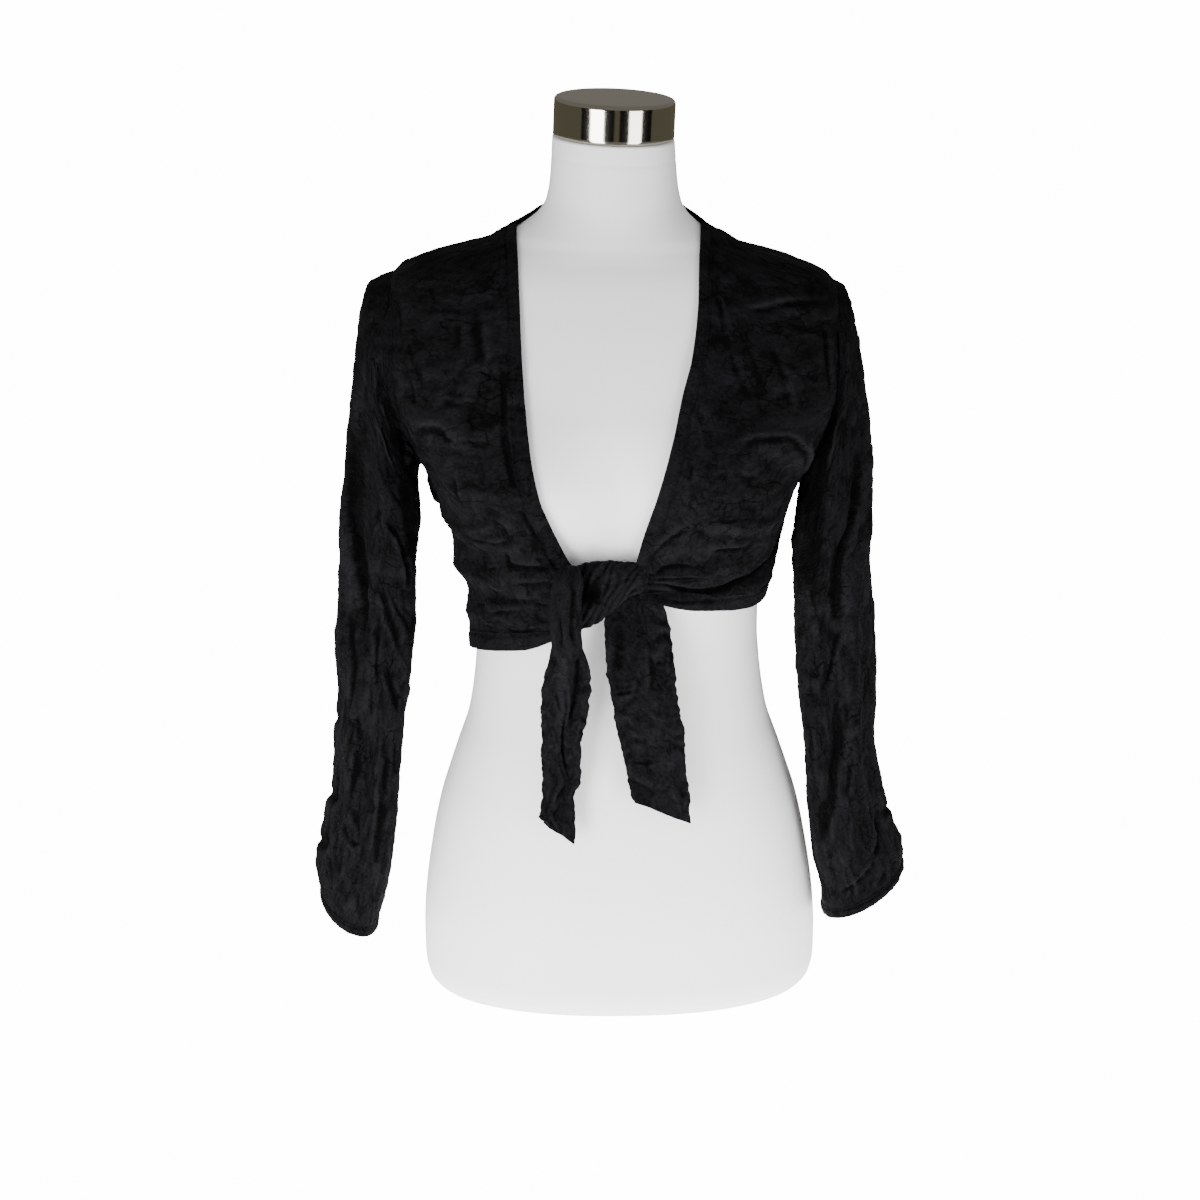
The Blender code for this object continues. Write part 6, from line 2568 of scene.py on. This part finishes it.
@dataclass(frozen=True)
class Softbox:
    """A soft light that stands upright and faces the form.

    Attributes:
        bearing: Angle from the front, towards +X, at which it stands.
        low: Height of its lower edge.
        high: Height of its upper edge.
        mirrored: Whether bright surfaces mirror it.
    """

    name: str
    bearing: float
    distance: float
    low: float
    high: float
    width: float
    power: float
    mirrored: bool = True

    def build(self) -> None:
        """Makes the light."""
        light = bpy.data.lights.new(self.name, "AREA")
        light.shape = "RECTANGLE"
        light.size, light.size_y, light.energy = self.width, self.high - self.low, self.power
        lamp = add_object(self.name, light)
        turn = math.radians(self.bearing)
        place = Vector((math.sin(turn), -math.cos(turn), 0.0)) * self.distance
        lamp.visible_camera, lamp.visible_glossy = False, self.mirrored
        lamp.location = place + Vector((0.0, 0.0, (self.low + self.high) / 2))
        lamp.rotation_euler = (math.radians(90), 0.0, turn)


@dataclass(frozen=True)
class Studio:
    """The pale floor, the soft lights and the camera.

    Attributes:
        lit_share: Share of the floor's size that lights the form from below.
        pale_wall: The pale wall's distance from the middle and its height.
        dark_wall: The same of the wall that only bright surfaces mirror.
        wall_foot: How far the walls reach below the floor.
        dark_reach: Angle on each side of a soft light over which the dark wall is black.
        camera_place: The camera's place from the form's axis.
        lens: Focal length in millimetres.
        shift: Sideways shift of the view, in widths of the picture.
    """

    softboxes: tuple[Softbox, ...] = (
        Softbox("softbox_right", -33.0, 2.3, -1.0, 0.8, 1.05, 90.0),
        Softbox("softbox_left", 41.0, 2.3, -1.0, 0.8, 1.00, 44.0),
        Softbox("softbox_back", 180.0, 2.6, -0.6, 1.4, 1.60, 60.0, False),
    )
    sky: Colour = (0.20, 0.19, 0.17)
    sky_strength: float = 1.0
    overhead: float = 1.6
    overhead_spread: float = 120.0
    overhead_slant: float = 20.0
    floor_size: float = 120.0
    lit_share: float = 0.014
    pale_wall: Pair = (25.0, 30.0)
    dark_wall: Pair = (3.0, 1.25)
    wall_foot: float = 0.3
    wall_parts: int = 72
    dark_reach: float = 32.0
    camera_place: tuple[float, ...] = (0.0, -2.4, 0.957)
    pitch: float = 14.5
    roll: float = -0.42
    sensor: float = 36.0
    lens: float = 88.2
    shift: float = -0.01408

    def build(self) -> None:
        """Makes the floor, the lights and the camera."""
        half = self.floor_size / 2
        corners = [(-half, -half), (half, -half), (half, half), (-half, half)]
        shown = [(x, y, 0.0) for x, y in corners]
        self.add_stage("pale_floor", shown, [(0, 1, 2, 3)], (PALE_FLOOR,), "camera")
        below = [(x * self.lit_share, y * self.lit_share, -0.01) for x, y in corners]
        self.add_stage("lit_floor", below, [(0, 1, 2, 3)], (LIT_FLOOR,), "diffuse")
        self.add_wall("pale_wall", self.pale_wall, (PALE_FLOOR,), "camera")
        self.add_wall("dark_wall", self.dark_wall, (DIM_WALL, DARK_WALL), "glossy")
        for softbox in self.softboxes:
            softbox.build()
        sun = bpy.data.lights.new("overhead_light", "SUN")
        sun.energy, sun.angle = self.overhead, math.radians(self.overhead_spread)
        lamp = add_object("overhead_light", sun)
        lamp.rotation_euler = (math.radians(self.overhead_slant), 0.0, 0.0)
        lamp.visible_glossy = False
        world = bpy.data.worlds.new("studio_surroundings")
        world.use_nodes = True
        ground = world.node_tree.nodes["Background"]
        ground.inputs["Color"].default_value = (*self.sky, 1.0)
        ground.inputs["Strength"].default_value = self.sky_strength
        bpy.context.scene.world = world
        self.add_camera()

    def add_stage(
        self, name: str, points: list[Any], faces: list[Any], finishes: tuple[Finish, ...], seen: str
    ) -> bpy.types.Mesh:
        """Makes a plain surface of the studio.

        Args:
            name: Its name.
            points: Its corners.
            faces: Its faces.
            finishes: Its finishes.
            seen: The only light that meets it: camera, diffuse or glossy.

        Returns:
            Its mesh.
        """
        mesh = bpy.data.meshes.new(name)
        mesh.from_pydata(points, [], faces)
        for finish in finishes:
            mesh.materials.append(finish.material())
        stage = add_object(name, mesh)
        stage.visible_shadow = stage.visible_transmission = stage.visible_volume_scatter = False
        stage.visible_camera, stage.visible_diffuse = seen == "camera", seen == "diffuse"
        stage.visible_glossy = seen == "glossy"
        return mesh

    def add_wall(self, name: str, size: Pair, finishes: tuple[Finish, ...], seen: str) -> None:
        """Makes a round wall about the form, dark beside the soft lights where it has two finishes.

        Args:
            name: Its name.
            size: Its distance from the middle and its height.
            finishes: Its finish, and the one that it has beside the soft lights.
            seen: The only light that meets it.
        """
        count = self.wall_parts
        turns = np.radians(np.arange(count) * 360 / count)
        ring = np.stack([np.sin(turns), -np.cos(turns)], -1) * size[0]
        points = [(x, y, z) for z in (-self.wall_foot, size[1]) for x, y in ring.tolist()]
        faces = [(i, i + count, (i + 1) % count + count, (i + 1) % count) for i in range(count)]
        mesh = self.add_stage(name, points, faces, finishes, seen)
        if len(finishes) > 1:
            shown = [softbox.bearing for softbox in self.softboxes if softbox.mirrored]
            for index, face in enumerate(mesh.polygons):
                bearing = (index + 0.5) * 360 / count
                near = min(abs(wrapped(bearing - place)) for place in shown)
                face.material_index = int(near < self.dark_reach)

    def add_camera(self) -> None:
        """Makes the camera."""
        pitch, roll = math.radians(self.pitch), math.radians(self.roll)
        right = Vector((1.0, 0.0, 0.0))
        up = Vector((0.0, math.sin(pitch), math.cos(pitch)))
        back = Vector((0.0, -math.cos(pitch), math.sin(pitch)))
        turned = right * math.cos(roll) + up * math.sin(roll)
        top = up * math.cos(roll) - right * math.sin(roll)
        view = bpy.data.cameras.new("camera")
        view.sensor_width, view.lens, view.shift_x = self.sensor, self.lens, self.shift
        camera = add_object("camera", view)
        place = Vector(self.camera_place) + Vector((LEAN.axis_x, LEAN.axis_y, 0.0))
        frame = Matrix((turned, top, back)).transposed().to_4x4()
        camera.matrix_world = Matrix.Translation(place) @ frame
        bpy.context.scene.camera = camera


FRONTS = (
    Front(
        RIGHT,
        {"panel": Cut(0.205, 0.340, 0.0490), "hem": Cut(0.155, 0.015), "band": Cut(0.0125, 0.315)},
    ),
    Front(
        LEFT,
        {"panel": Cut(0.215, 0.300, 0.0490), "hem": Cut(0.180, 0.015), "band": Cut(0.0120, 0.310)},
    ),
)
BACK = Back({"panel": Cut(0.400, 0.360, 0.1360), "hem": Cut(0.370, 0.015), "band": Cut(0.250, 0.0125)})


def main() -> None:
    """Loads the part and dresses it."""
    logging.basicConfig(level=logging.INFO, format="%(name)s %(message)s")
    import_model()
    FORM.build()
    BACK.build()
    for front in FRONTS:
        front.build()
    for sleeve in (RIGHT_SLEEVE, LEFT_SLEEVE):
        sleeve.build()
    for piece in (WRAP, STRAND, RIGHT_TAIL, LEFT_TAIL):
        piece.build()
    Studio().build()
    LOG.info("sizes written")


if __name__ == "__main__":
    main()
